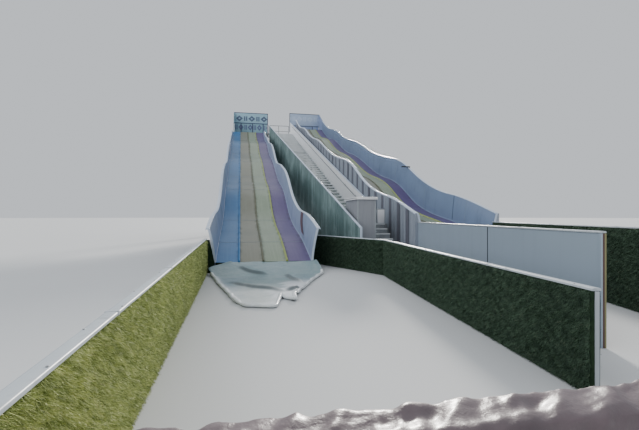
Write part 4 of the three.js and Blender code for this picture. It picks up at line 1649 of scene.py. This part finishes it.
    def build_entry(self) -> None:
        """Plates and nosings of the entry steps and the landing."""
        dress("entry_landing", Finish.STEEL)
        dress("entry_steps", Finish.STEEL)
        low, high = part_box("entry_steps")
        going, riser = (high[1] - low[1]) / self.entry_risers, high[2] / self.entry_risers
        plates, noses = [], []
        for k in range(self.entry_risers):
            front, level = low[1] + going * k, riser * (k + 1)
            ends = (low[0] + 0.01, front, level), (high[0] - 0.01, front + going, level + 0.005)
            plates.append(block(f"entry_tread_{k}", *ends, 0.002))
            ends = (low[0], front - 0.008, level - 0.03), (high[0], front + 0.03, level + 0.01)
            noses.append(block(f"entry_nose_{k}", *ends, 0.004))
        low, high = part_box("entry_landing")
        ends = (low[0] + 0.02, low[1] + 0.01, high[2]), (high[0] - 0.02, high[1], high[2] + 0.006)
        plates.append(block("landing_plate", *ends, 0.002))
        show(join("entry_plates", plates), Finish.PLATE)
        show(join("entry_nosings", noses), Finish.PALE_LIT_NOSING)

    def build_panel(self) -> None:
        """The small white panel beside the entry, in its rim."""
        low, high = (np.array(corner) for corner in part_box("entry_panel"))
        inset = np.array([0.03, 0.008, 0.03])
        panel = block("entry_white_panel", low + inset, high - inset, 0.004)
        show(panel, Finish.PARAPET, "entry_panel")
        rims = [
            block("panel_rim_0", low, (low[0] + self.rim, high[1], high[2]), 0.006),
            block("panel_rim_1", (high[0] - self.rim, low[1], low[2]), high, 0.006),
            block("panel_rim_2", (low[0], low[1], high[2] - self.rim), high, 0.006),
            block("panel_rim_3", low, (high[0], high[1], low[2] + self.rim), 0.006),
        ]
        show(join("entry_panel_rim", rims), Finish.CAP, "entry_panel")

    def build_handrails(self) -> None:
        """A round rail with brackets on the stair side of each wall."""
        low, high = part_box("stair_flight_1"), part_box(f"stair_flight_{self.flights}")
        first, last = low[0][1], high[1][1]
        slope = (high[1][2] - low[0][2] - self.stringer) / (last - first)
        foot = low[0][2] + self.stringer
        pieces = []
        sides = ("ribbed", self.ribbed, self.rail_gap), ("parapet", self.parapet, -self.rail_gap)
        for name, wall, out in sides:
            ends = []
            for y in (first + 0.6, last - 0.4):
                at = (y - wall.start[1]) / wall.along[1]
                up = min(foot + (y - first) * slope + self.rail_height, float(wall.top(at)) - 0.18)
                ends.append(wall.spot(at, out, up))
            pieces.append(rod(f"{name}_rail", *ends, 0.021, 12))
            for k, share in enumerate(np.linspace(0.02, 0.98, self.brackets)):
                on_rail = ends[0] + (ends[1] - ends[0]) * share
                on_wall = on_rail - np.array([*(wall.across * out), 0.0]) * 0.85
                pieces.append(rod(f"{name}_bracket_{k}", on_rail, on_wall, 0.009, 8))
        show(join("stair_handrails", pieces), Finish.STEEL)


@dataclass
class Kiosk:
    """The ticket kiosk beside the entry steps."""

    trim: float = 0.046
    proud: float = 0.006
    sill: float = 1.15
    head: float = 1.95
    window: Span = (0.35, 1.15)
    frame_width: float = 0.04
    roof_edge: float = 0.02

    def build(self) -> None:
        """Dresses the body and adds corner trims, the window's frame and the roof."""
        dress("kiosk_walls", Finish.KIOSK)
        self.build_corner_trims()
        self.build_window()
        self.build_roof()

    def build_corner_trims(self) -> None:
        """Angles up the near corners and flat strips up the far ones."""
        low, high = (Vector(corner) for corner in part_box("kiosk_walls"))
        inner = self.trim - self.proud
        trims = []
        depths = (low.y - self.proud, low.y + inner), (high.y - self.proud, high.y)
        for i, left in enumerate((low.x - self.proud, high.x - inner)):
            for j, (near, far) in enumerate(depths):
                ends = (left, near, 0.0), (left + self.trim, far, high.z)
                trims.append(block(f"kiosk_corner_{i}{j}", *ends, 0.003))
        show(join("kiosk_corner_trims", trims), Finish.RAIL)

    def build_window(self) -> None:
        """The ticket window's sill, which is also the counter, and the bars round the opening."""
        low, high = (Vector(corner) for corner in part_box("kiosk_walls"))
        front, back = (low.y + at for at in self.window)
        inside, outside = high.x - 0.045, high.x + 0.012
        near, far = front - self.frame_width, back + self.frame_width
        above = self.head + self.frame_width
        ends = (high.x - 0.08, front - 0.05, self.sill - 0.03), (high.x + 0.16, back + 0.05, self.sill)
        sides = [
            block("window_sill", *ends, 0.006),
            block("window_head", (inside, near, self.head), (outside, far, above), 0.004),
            block("window_near", (inside, near, self.sill), (outside, front, self.head), 0.004),
            block("window_far", (inside, back, self.sill), (outside, far, self.head), 0.004),
        ]
        show(join("kiosk_window_frame", sides), Finish.CAP)

    def build_roof(self) -> None:
        """The thin roof and its edge."""
        low, high = (Vector(corner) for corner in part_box("kiosk_roof"))
        show(block("kiosk_roof_sheet", low, high, 0.014), Finish.PARAPET, "kiosk_roof")
        lip = self.roof_edge
        sides = (
            ((low.x, low.y), (high.x, low.y + lip)),
            ((low.x, high.y - lip), (high.x, high.y)),
            ((low.x, low.y), (low.x + lip, high.y)),
            ((high.x - lip, low.y), (high.x, high.y)),
        )
        edges = [
            block(f"roof_edge_{k}", (*start, low.z - 0.02), (*end, high.z + 0.006), 0.004)
            for k, (start, end) in enumerate(sides)
        ]
        show(join("kiosk_roof_edge", edges), Finish.PARAPET)


@dataclass
class Tower:
    """The start platforms' decks, guard and lattice frames."""

    decks: tuple[str, ...] = ("left_start_deck", "stair_head_deck", "right_start_deck")
    frames: int = 5

    def build(self) -> None:
        """Dresses the steel and adds deck plates and base plates."""
        for deck in self.decks:
            dress(deck, Finish.STEEL)
            low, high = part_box(deck)
            ends = (low[0] + 0.05, low[1] + 0.03, high[2]), (high[0] - 0.05, high[1] - 0.07, high[2] + 0.006)
            show(block(f"{deck}_plate", *ends, 0.002), Finish.PLATE)
        dress("stair_head_guard", Finish.STEEL)
        legs = []
        for number in range(1, self.frames + 1):
            node = f"tower_frame_{number}"
            dress(node, Finish.STEEL)
            low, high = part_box(node)
            legs += [((low[0] + high[0]) / 2, y) for y in (low[1] + LEG_HALF, high[1] - LEG_HALF)]
        for piece in base_plates("tower", legs):
            show(piece, Finish.STEEL)


@dataclass
class Turf:
    """Artificial turf hung on one face of a straight wall: a slack backing and joined blades."""

    wall: StraightWall
    face: int
    blades: int
    backing: Finish
    blade: Finish
    eye: Span
    seed: int
    blade_length: Span = (0.028, 0.055)
    blade_width: float = 0.0034
    cap_depth: float = 0.026
    nearness: float = 1.5
    backing_pitch: float = 0.12
    backing_out: float = 0.026
    blade_root: float = 0.029

    def build(self, *stands_for: str) -> None:
        """Builds the backing and the blades.

        Args:
            stands_for: The CAD nodes that the backing replaces.
        """
        rng = np.random.default_rng(self.seed)
        self.build_backing(rng, *stands_for)
        self.build_blades(rng)

    @property
    def name(self) -> str:
        """The wall's name with the face that is covered."""
        return f"{self.wall.node}_{'right' if self.face > 0 else 'left'}"

    def build_backing(self, rng: np.random.Generator, *stands_for: str) -> None:
        """Builds the woven sheet, which hangs a little slack.

        Args:
            rng: The random source.
            stands_for: The CAD nodes that it replaces.
        """
        rows, columns = max(int(self.wall.length / self.backing_pitch), 8), 9
        shares = np.linspace(0, 1, columns)
        at, share = np.meshgrid(np.linspace(0, self.wall.length, rows), shares, indexing="ij")
        top = self.wall.top(at) - self.cap_depth - 0.002
        bottom = self.wall.bottom(at) + 0.004
        slack = rng.normal(0, 1, at.shape)
        slack = (slack + np.roll(slack, 1, 0) + np.roll(slack, -1, 0) + np.roll(slack, 2, 0)) * 0.0016
        belly = 0.006 * np.sin(share * math.pi) * (0.6 + 0.4 * np.sin(at * 2.1))
        out = self.face * (self.backing_out + slack + belly)
        grid = self.wall.spot(at, out, bottom + (top - bottom) * share)
        piece = skin(f"{self.name}_backing", grid, 0.008)
        show(smooth(piece, 60), self.backing, *stands_for)

    def build_blades(self, rng: np.random.Generator) -> None:
        """Builds blades that lean out and hang, closer together where they are seen from near.

        Args:
            rng: The random source.
        """
        table = np.linspace(0.05, self.wall.length - 0.05, 400)
        away = np.hypot(*(self.wall.spot(table, 0.0, 0.0)[:, :2] - np.array(self.eye)).T)
        weight = np.cumsum(1 / np.maximum(away, 1.2) ** self.nearness)
        at = np.interp(rng.random(self.blades) * weight[-1], weight, table)
        top = self.wall.top(at) - self.cap_depth - 0.004
        up = 0.012 + rng.random(self.blades) ** 0.9 * (top - 0.012)
        clump = np.sin(at * 31.0 + 7 * np.sin(up * 9.0)) + np.sin(up * 37.0 + 5 * np.sin(at * 6.0))
        lean = np.column_stack([
            self.face * rng.uniform(0.25, 0.95, self.blades),
            rng.normal(0, 0.42, self.blades) + 0.18 * clump,
            rng.normal(-0.55, 0.35, self.blades),
        ])
        out = np.array([*self.wall.across, 0.0])
        along = np.array([*self.wall.along, 0.0])
        grow = lean[:, :1] * out + lean[:, 1:2] * along + lean[:, 2:] * np.array([0.0, 0.0, 1.0])
        grow /= np.linalg.norm(grow, axis=1, keepdims=True)
        side = np.cross(grow, rng.normal(0, 1, grow.shape))
        side /= np.linalg.norm(side, axis=1, keepdims=True)
        near = np.interp(at, table, away)
        width = self.blade_width * np.clip(near / 3.0, 1.0, 3.2)
        length = rng.uniform(*self.blade_length, self.blades) * np.clip(near / 6.0, 1.0, 1.35)
        lowest = np.maximum(-grow[:, 2], 0) * length + width
        roots = self.wall.spot(at, self.face * self.blade_root, np.maximum(up, lowest))
        turns = np.stack([side * width[:, None], grow * length[:, None], np.cross(side, grow)], axis=2)
        shades = np.clip(rng.normal(0.5, 0.2, self.blades) + 0.08 * clump, 0, 1)
        show(scatter(f"{self.name}_blades", blade(), roots, turns, shades), self.blade)


@dataclass
class LowWalls:
    """The low walls round the run-outs."""

    eye: Span
    skirting: float = 0.13
    face_out: float = 0.018
    sheet_out: float = 0.029
    cover_out: float = 0.034
    cap_drop: float = 0.03
    sheet_length: float = 2.4
    screw_pitch: float = 0.6
    white_joint: float = 3.1

    def build(self) -> None:
        """Builds each wall with its core, faces and cap."""
        # The left wall's turf carries painted sunlight; the other turf faces carry painted shade.
        bright, dark = (Finish.BACKING, Finish.BLADES), (Finish.DARK_BACKING, Finish.DARK_BLADES)
        self.build_wall("left_turf_wall", {1: (92000, *bright), -1: None}, 1)
        self.build_wall("centre_wall_front", {1: (9000, *dark), -1: (60000, *dark)}, 2)
        self.build_wall("centre_wall_back", {1: (4000, *dark), -1: (20000, *dark)}, 3)
        self.build_wall("right_turf_wall", {1: None, -1: (42000, *dark)}, 4)
        self.build_wall("white_wall_front", {1: (7000, *dark), -1: None}, 5)
        self.build_wall("white_wall_back", {1: (3000, *dark), -1: None}, 6)
        self.build_white_end()
        # The return panel is dark turf with painted shade.
        dress("left_return_panel", Finish.DARK_BACKING)

    def build_wall(self, node: str, faces: dict[int, tuple[int, Finish, Finish] | None], seed: int) -> None:
        """Builds one wall: its core, two faces and cap.

        Args:
            node: The wall's node.
            faces: For the right face, 1, and the left, -1: the turf's blades and finishes, or None for sheets.
            seed: The turf's seed.
        """
        wall = StraightWall(node)
        white = node.startswith("white")
        wall.row(
            f"{node}_core", [(0, wall.length)], (-self.face_out, self.face_out),
            wall.between(0.0, self.cap_drop), 0, Finish.WHITE if white else Finish.CORE, node,
        )
        for face, cover in faces.items():
            if cover:
                Turf(wall, face, *cover, self.eye, seed).build(node)
            else:
                self.build_sheets(wall, face, white)
        if not white:
            wall.row(
                f"{node}_end_strip", [(-0.008, 0.012)], (-0.021, 0.021),
                lambda at: (0.0, wall.tops[0] - self.cap_drop), 0.003, Finish.CAP,
            )
        wall.cap(f"{node}_cap", LOW_CAP, Finish.CAP)
        wall.row(
            f"{node}_cap_sleeves", around(np.arange(1.9, wall.length - 0.4, self.sheet_length), 0.03),
            (-0.046, 0.046), lambda at: (wall.top(at) - 0.029, wall.top(at) + 0.003), 0.003, Finish.CAP,
        )
        at = np.arange(0.25, wall.length - 0.1, self.screw_pitch)
        screws = wall.spot(at, np.where(np.arange(len(at)) % 2, 0.028, -0.028), wall.top(at) + 0.002)
        show(scatter(f"{node}_cap_screws", bolt((0, 0, 1), 0.008, 0.004), screws), Finish.STEEL)

    def build_sheets(self, wall: StraightWall, face: int, white: bool) -> None:
        """Builds a face's plain sheets, the kick plate along their foot and the covers on their joints.

        Args:
            wall: The wall.
            face: 1 for its right face, -1 for its left.
            white: Whether it is one of the white walls, whose joint is dark.
        """
        count = max(round(wall.length / self.sheet_length), 1)
        joints = np.arange(1, count) * wall.length / count
        if white:
            joints = [self.white_joint] if wall.node == "white_wall_front" else []
        marks = (0.0, *joints, wall.length)
        sheets = [(near + 0.002, far - 0.002) for near, far in zip(marks, marks[1:])]
        out = sorted((face * self.face_out, face * self.sheet_out))
        proud = sorted((face * self.face_out, face * self.cover_out))
        rise = wall.between(self.skirting + 0.012, self.cap_drop)
        # The white walls' sheets carry painted shade.
        board, cover = (Finish.WHITE, Finish.JOINT) if white else (Finish.PARAPET, Finish.CAP)
        wall.row(f"{wall.node}_sheets", sheets, out, rise, 0.002, board, wall.node)
        wall.row(
            f"{wall.node}_kick_plate", [(0, wall.length)], proud,
            lambda at: (0.0, self.skirting), 0.004, Finish.CAP, wall.node,
        )
        wall.row(f"{wall.node}_joint_covers", around(joints, 0.028), proud, rise, 0.003, cover)

    def build_white_end(self) -> None:
        """The near end of the white wall: sheet edge, rusty-brown angle and turf edge."""
        wall = StraightWall("white_wall_front")
        layers = (("sheet_end", Finish.WHITE), ("edge", Finish.EDGE), ("turf_end", Finish.CORE))
        for (name, finish), out in zip(layers, around((-0.024, 0.0, 0.024), 0.024)):
            wall.row(
                f"white_wall_{name}", [(-0.012, 0.05)], out,
                lambda at: (0.0, wall.tops[0] - self.cap_drop), 0.003, finish,
            )


def crumple(rows: Rows, rng: np.random.Generator, pitch: float, layers: int = 7) -> Rows:
    """Sharp random creases over a surface.

    Args:
        rows: The surface's points.
        rng: The random source.
        pitch: Usual distance between two creases in metres.
        layers: How many sets of creases are laid over each other.

    Returns:
        A height from -1 to 1 at each point.
    """
    total = np.zeros(len(rows))
    for _ in range(layers):
        way = rng.normal(0, 1, 3)
        way /= np.linalg.norm(way)
        size = pitch * rng.uniform(0.7, 1.8)
        bend = np.sin(rows @ rng.normal(0, 0.4 / pitch, 3) + rng.uniform(0, 6))
        total += 1 - 2 * np.abs(np.sin(math.pi * (rows @ way) / size + 1.4 * bend))
    return total / layers


@dataclass
class LandingMat:
    """A coated fabric mat that runs from one lip down to the floor and out along it."""

    chute: Chute
    seed: int
    rows: int = 170
    columns: int = 90
    thickness: float = 0.011
    hem_radius: float = 0.04
    hem_from: float = -0.75
    near_reach: float = 0.5
    corner_reach: float = 0.2
    end_at: tuple[float, ...] = (0.0, 0.48, 0.56, 0.75, 0.80, 0.97, 1.0)
    ends: tuple[float, ...] = (0.07, -0.1, -0.1, 0.93, 0.66, 0.33, 0.42)
    folds: tuple[Line, ...] = (
        (0.74, -0.36, 1.40, -0.88),
        (0.56, -2.12, 1.61, -3.38),
        (2.02, -1.00, 2.20, -2.20),
        (1.70, -3.30, 2.05, -3.05),
    )

    def build(self) -> None:
        """Lays the sheet through its outline, with its hem."""
        side = self.chute.side
        node = f"{side}_landing_mat"
        marks, left, right, level = self.outline(node)
        s = np.linspace(marks[0], marks[-1], self.rows)
        low, high = (np.interp(s, marks, edge) for edge in (left, right))
        low = low - self.corner_reach * bell(s + 0.4, 0.35)
        high = high + self.near_reach * np.clip(1 - (s - marks[0]) / 0.5, 0, 1)
        share = np.linspace(0, 1, self.columns)
        across = low[:, None] + (high - low)[:, None] * share
        ease = ((marks[-1] - s) / (marks[-1] - marks[0])) ** 4
        along = s[:, None] + ease[:, None] * np.interp(share, self.end_at, self.ends)
        up = np.interp(along, marks, level) + 0.008
        from_left, from_right = across - low[:, None], high[:, None] - across
        rim = np.minimum(np.minimum(from_left, from_right), (s - s[0])[:, None])
        grid = np.stack([across, along, self.creased(across, along, up, rim)], axis=2)
        # The sheet's own map carries painted shade beside the folds and painted highlight at the rim and flap.
        tones = np.stack([self.fold_shade_marks(across, along), self.highlight_marks(rim, from_right, along)], axis=2)
        piece = skin(f"{side}_landing_sheet", grid, self.thickness, tones)
        smooth(piece, 60)
        self.chute.place(piece)
        hem = self.build_hem(grid, int((s < self.hem_from).sum()))
        width = float((high - low).max())
        show(piece, Finish.MAT, node)
        show(hem, Finish.HEM, node)

    def outline(self, node: str) -> tuple[Rows, ...]:
        """Reads the mat's outline from its node.

        Args:
            node: The mat's node.

        Returns:
            Distances from the lip, with the left edge, the right edge and the height at each of them.
        """
        rows = self.chute.local(corners(node))
        marks = np.unique(rows[:, 1].round(3))
        near = [rows[abs(rows[:, 1] - mark) < 0.002] for mark in marks]
        left = np.array([group[:, 0].min() for group in near])
        right = np.array([group[:, 0].max() for group in near])
        return marks, left, right, np.array([group[:, 2].min() for group in near])

    def creased(self, across: Rows, along: Rows, up: Rows, rim: Rows) -> Rows:
        """Adds the rolled rim, the folds, the creases and the slack.

        Args:
            across: Across positions.
            along: Distances from the lip.
            up: Heights of the sheet as it would lie without them.
            rim: Distances from the nearest edge.

        Returns:
            The heights, none of them below the floor.
        """
        up = up + 0.035 * bell(rim - 0.02, 0.05) * (0.8 + 0.2 * np.sin(along * 11.0 + across * 7.0))
        for line in self.folds:
            fade, off = self.fold(across, along, line)
            up += fade * (0.07 * bell(off, 0.05) - 0.02 * bell(off - 0.11, 0.06))
        rng = np.random.default_rng(self.seed)
        flat = np.column_stack([across.ravel(), along.ravel(), np.zeros(up.size)])
        creases = crumple(flat, rng, 0.6) * 0.020 + crumple(flat, rng, 0.2) * 0.004
        flap = bell(across - 1.75, 0.35) * bell(along + 3.9, 0.7)
        rolling = 0.5 + 0.5 * np.sin(along * 9.0 + 2.0 * np.sin(across * 3.0))
        up += 0.012 + creases.reshape(up.shape) * (1 + flap) + 0.06 * flap * rolling
        return np.maximum(up, self.chute.floor + 0.007)

    def fold_shade_marks(self, across: Rows, along: Rows) -> Rows:
        """Reads how dark the painted shade is on the near side of the folds.

        Args:
            across: Across positions.
            along: Distances from the lip.

        Returns:
            The darkness, from 0 to 0.9.
        """
        total = np.zeros_like(across)
        for line in self.folds:
            fade, off = self.fold(across, along, line)
            total += fade * bell(off + 0.05, 0.06)
        return np.clip(total, 0, 0.9)

    @staticmethod
    def highlight_marks(rim: Rows, from_right: Rows, along: Rows) -> Rows:
        """Reads how strong the painted highlight is, at the rim and on the turned-over right side.

        Args:
            rim: Distances from the nearest edge.
            from_right: Distances from the right edge.
            along: Distances from the lip.

        Returns:
            The brightness, from 0 to 1.
        """
        # Painted highlight along the rim, and over the turned-over flap on the right.
        edge = 0.9 * bell(rim, 0.1)
        wander = 0.14 * np.sin(along * 5.0) + 0.06 * np.sin(along * 13.0 + from_right * 9.0)
        turned = 0.95 * fall(from_right - 0.6 - wander, 18.0) * fall(along + 2.1, 5.0)
        return np.clip(np.maximum(edge * (along < -0.9), turned), 0, 1)

    def build_hem(self, grid: Rows, last: int) -> Piece:
        """Rolls the edge round the part of the sheet that lies on the floor.

        Args:
            grid: The sheet's points, from its far edge to the lip.
            last: The row at which the roll ends.

        Returns:
            The roll.
        """
        path = np.vstack([grid[last:0:-1, 0], grid[0], grid[1:last + 1, -1]])
        padded = np.vstack([path[:1], path[:1], path, path[-1:], path[-1:]])
        path = sum(padded[k:k + len(path)] for k in range(5)) / 5
        run = np.arange(len(path))
        radius = self.hem_radius * (1 + 0.22 * np.sin(run * 0.31) + 0.12 * np.sin(run * 0.83))
        path[:, 2] = np.maximum(path[:, 2], self.chute.floor + radius)
        ahead = np.gradient(path, axis=0)
        ahead[:, 2] = 0
        ahead /= np.linalg.norm(ahead, axis=1, keepdims=True)
        aside = np.column_stack([ahead[:, 1], -ahead[:, 0], np.zeros(len(path))])
        turns = np.linspace(0, 2 * math.pi, 10, endpoint=False)[None, :, None]
        round_path = np.cos(turns) * aside[:, None] + np.sin(turns) * np.array([0.0, 0.0, 0.8])
        rings = path[:, None] + radius[:, None, None] * round_path
        hem = smooth(sweep(f"{self.chute.side}_landing_sheet_hem", rings), 60)
        return self.chute.place(hem)

    @staticmethod
    def fold(across: Rows, along: Rows, line: Line) -> tuple[Rows, Rows]:
        """Follows one fold.

        Args:
            across: Across positions.
            along: Distances from the lip.
            line: Where the fold starts and ends.

        Returns:
            How strong the fold is at each place, and how far beyond its line the place lies.
        """
        start, end = np.array(line[:2]), np.array(line[2:])
        length = float(np.hypot(*(end - start)))
        way = (end - start) / length
        run = ((across - start[0]) * way[0] + (along - start[1]) * way[1]) / length
        off = (along - start[1]) * way[0] - (across - start[0]) * way[1] + 0.05 * np.sin(run * 4.0)
        return fall(abs(run - 0.5) - 0.5, 14.0), off

    @staticmethod
    def area(grid: Rows) -> float:
        """Area of a sheet through a grid of points."""
        along, across = np.diff(grid, axis=0)[:, :-1], np.diff(grid, axis=1)[:-1]
        return float(np.linalg.norm(np.cross(along, across), axis=2).sum())


@dataclass
class FrontPad:
    """The wrinkled padded wall across the near end of the left run-out."""

    node: str = "front_padded_wall"
    voxel: float = 0.024
    pressure: float = 4.0
    last_frame: int = 18
    most: float = 0.03
    crown: float = 0.045
    wrinkle_way: Triple = (-0.65, -0.55, -0.52)
    wrinkle_stretch: float = 0.62

    def build(self) -> None:
        """Swells the crumpled cover over its frame."""
        low, high = (np.array(corner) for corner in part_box(self.node))
        slim = np.array([0.004, 0.006, 0.0])
        cover = block("front_pad_cover", low + slim, high - slim + [0.0, 0.0, self.crown], 0.02)
        cover = self.swell(cover, low, high)
        show(cover, Finish.PAD, self.node)

    def swell(self, cover: Piece, low: Rows, high: Rows) -> Piece:
        """Crumples the cover, lets it swell as cloth, caps how far it moves and adds fine wrinkles.

        Args:
            cover: The plain cover.
            low: The frame's low corner.
            high: The frame's high corner.

        Returns:
            The cover.
        """
        modify(cover, "REMESH", mode="VOXEL", voxel_size=self.voxel, use_smooth_shade=True)
        before = points(cover)
        rng = np.random.default_rng(8)
        creases = crumple(before, rng, 0.3) * 0.03
        set_points(cover, before + points(cover, "normal") * creases[:, None])
        self.run_cloth(cover)
        moved = points(cover) - before
        size = np.linalg.norm(moved, axis=1, keepdims=True)
        set_points(cover, before + moved * np.minimum(1, self.most / np.maximum(size, 1e-9)))
        modify(cover, "SUBSURF", levels=1, render_levels=1)
        full = points(cover)
        way = np.array(self.wrinkle_way)
        drawn = full - self.wrinkle_stretch * (full @ way)[:, None] * way
        wrinkles = crumple(drawn, rng, 0.15) * 0.024 + crumple(drawn, rng, 0.07) * 0.015
        wrinkled = full + points(cover, "normal") * wrinkles[:, None]
        set_points(cover, np.clip(wrinkled, low - [0.02, 0.02, 0.0], high + [0.02, 0.02, 0.035]))
        return smooth(cover, 80)

    def run_cloth(self, cover: Piece) -> None:
        """Runs the cover as a cloth under pressure from inside, and keeps its last shape.

        Args:
            cover: The cover.
        """
        take(cover)
        cloth = cover.modifiers.new("Cloth", "CLOTH")
        cloth.settings.use_pressure = True
        cloth.settings.uniform_pressure_force = self.pressure
        cloth.settings.effector_weights.gravity = 0
        cloth.settings.quality = 4
        cloth.settings.shrink_min = -0.05
        scene = bpy.context.scene
        for number in range(1, self.last_frame + 1):
            scene.frame_set(number)
        bpy.ops.object.modifier_apply(modifier=cloth.name)
        scene.frame_set(1)


@dataclass(frozen=True)
class Studio:
    """Camera, pale floor and soft light."""

    from_lip: Span = (-0.728, 12.16)
    eye_height: float = 1.67
    turn: float = 11.165
    lens: float = 22.54
    lift: float = 0.0016
    sun_from: Triple = (0.324, 0.9, 0.292)
    sky_from: Triple = (0.1, 0.45, 0.88)
    fill_from: Triple = (-0.78, -0.45, 0.43)
    warm: Triple = (1.0, 0.95, 0.88)
    cool: Triple = (0.95, 0.97, 1.0)
    floor_radius: float = 400.0
    floor_level: float = -0.002

    @property
    def eye(self) -> Triple:
        """The camera's place, measured from the left lip's left corner."""
        low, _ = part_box("left_lanes_1")
        return low[0] - self.from_lip[0], low[1] - self.from_lip[1], self.eye_height

    def build_camera(self) -> None:
        """Adds the camera at the photograph's place."""
        clear()
        turn = (math.radians(90), 0, -math.radians(self.turn))
        bpy.ops.object.camera_add(location=self.eye, rotation=turn)
        camera = bpy.context.object
        camera.name = "camera"
        camera.data.lens = self.lens
        camera.data.sensor_width = 36
        camera.data.shift_y = self.lift
        camera.data.clip_start = 0.05
        camera.data.clip_end = 1500
        bpy.context.scene.camera = camera

    def build_floor(self) -> None:
        """Adds the pale floor."""
        clear()
        bpy.ops.mesh.primitive_circle_add(
            vertices=64, radius=self.floor_radius, fill_type="NGON", location=(0, 0, self.floor_level)
        )
        floor = adopt("floor")
        floor.data.materials.append(Shader("floor_paint", FloorPaint()).material)

    def build_light(self) -> None:
        """Adds a low sun from behind on the right, soft light from above and the left, and a pale sky."""
        self.add_sun("sun", self.sun_from, 4.8, 7.0, self.warm)
        self.add_sun("sky_light", self.sky_from, 0.35, 90.0, self.cool)
        self.add_sun("fill", self.fill_from, 1.35, 60.0, self.cool)
        world = bpy.data.worlds.new("sky")
        world.use_nodes = True
        backdrop = world.node_tree.nodes["Background"]
        backdrop.inputs["Color"].default_value = (0.86, 0.90, 0.95, 1.0)
        backdrop.inputs["Strength"].default_value = 0.8
        bpy.context.scene.world = world

    @staticmethod
    def add_sun(name: str, source: Triple, strength: float, spread: float, colour: Triple) -> None:
        """Adds a sun lamp that shines from a direction.

        Args:
            name: The lamp's name.
            source: The direction that it shines from.
            strength: How strong it is.
            spread: How wide it looks, in degrees.
            colour: Its colour.
        """
        clear()
        turn = Vector(source).to_track_quat("Z", "Y").to_euler()
        bpy.ops.object.light_add(type="SUN", rotation=turn)
        lamp = bpy.context.object
        lamp.name = name
        lamp.data.energy = strength
        lamp.data.angle = math.radians(spread)
        lamp.data.color = colour


def main() -> None:
    """Builds the scene."""
    logging.basicConfig(level=logging.INFO, format="%(name)s: %(message)s")
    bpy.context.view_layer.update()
    studio = Studio()
    studio.build_camera()
    studio.build_floor()
    studio.build_light()
    left = Chute(
        "left", 0.0, Finish.LEFT_WALL, wall_joint_width=0.5, wall_joint_foot=0.1, wall_joint_lean=0.8,
        wall_joint_finish=Finish.PATCH,
    )
    right = Chute("right", math.radians(1.0), Finish.RIGHT_WALL, bracket_at=6.85)
    for chute in (left, right):
        chute.build()
    StartScreen(left, Finish.SCREEN, Finish.PANEL, Finish.POST, 10.87, (0.78, 1.91, 2.94)).build()
    StartScreen(right, Finish.RIGHT_SCREEN, Finish.RIGHT_PANEL, Finish.RIGHT_POST, 10.83, (1.84,)).build()
    Tower().build()
    Stair().build()
    Kiosk().build()
    LowWalls(studio.eye[:2]).build()
    LandingMat(left, 11).build()
    LandingMat(right, 12).build()
    FrontPad().build()


if __name__ == "__main__":
    main()
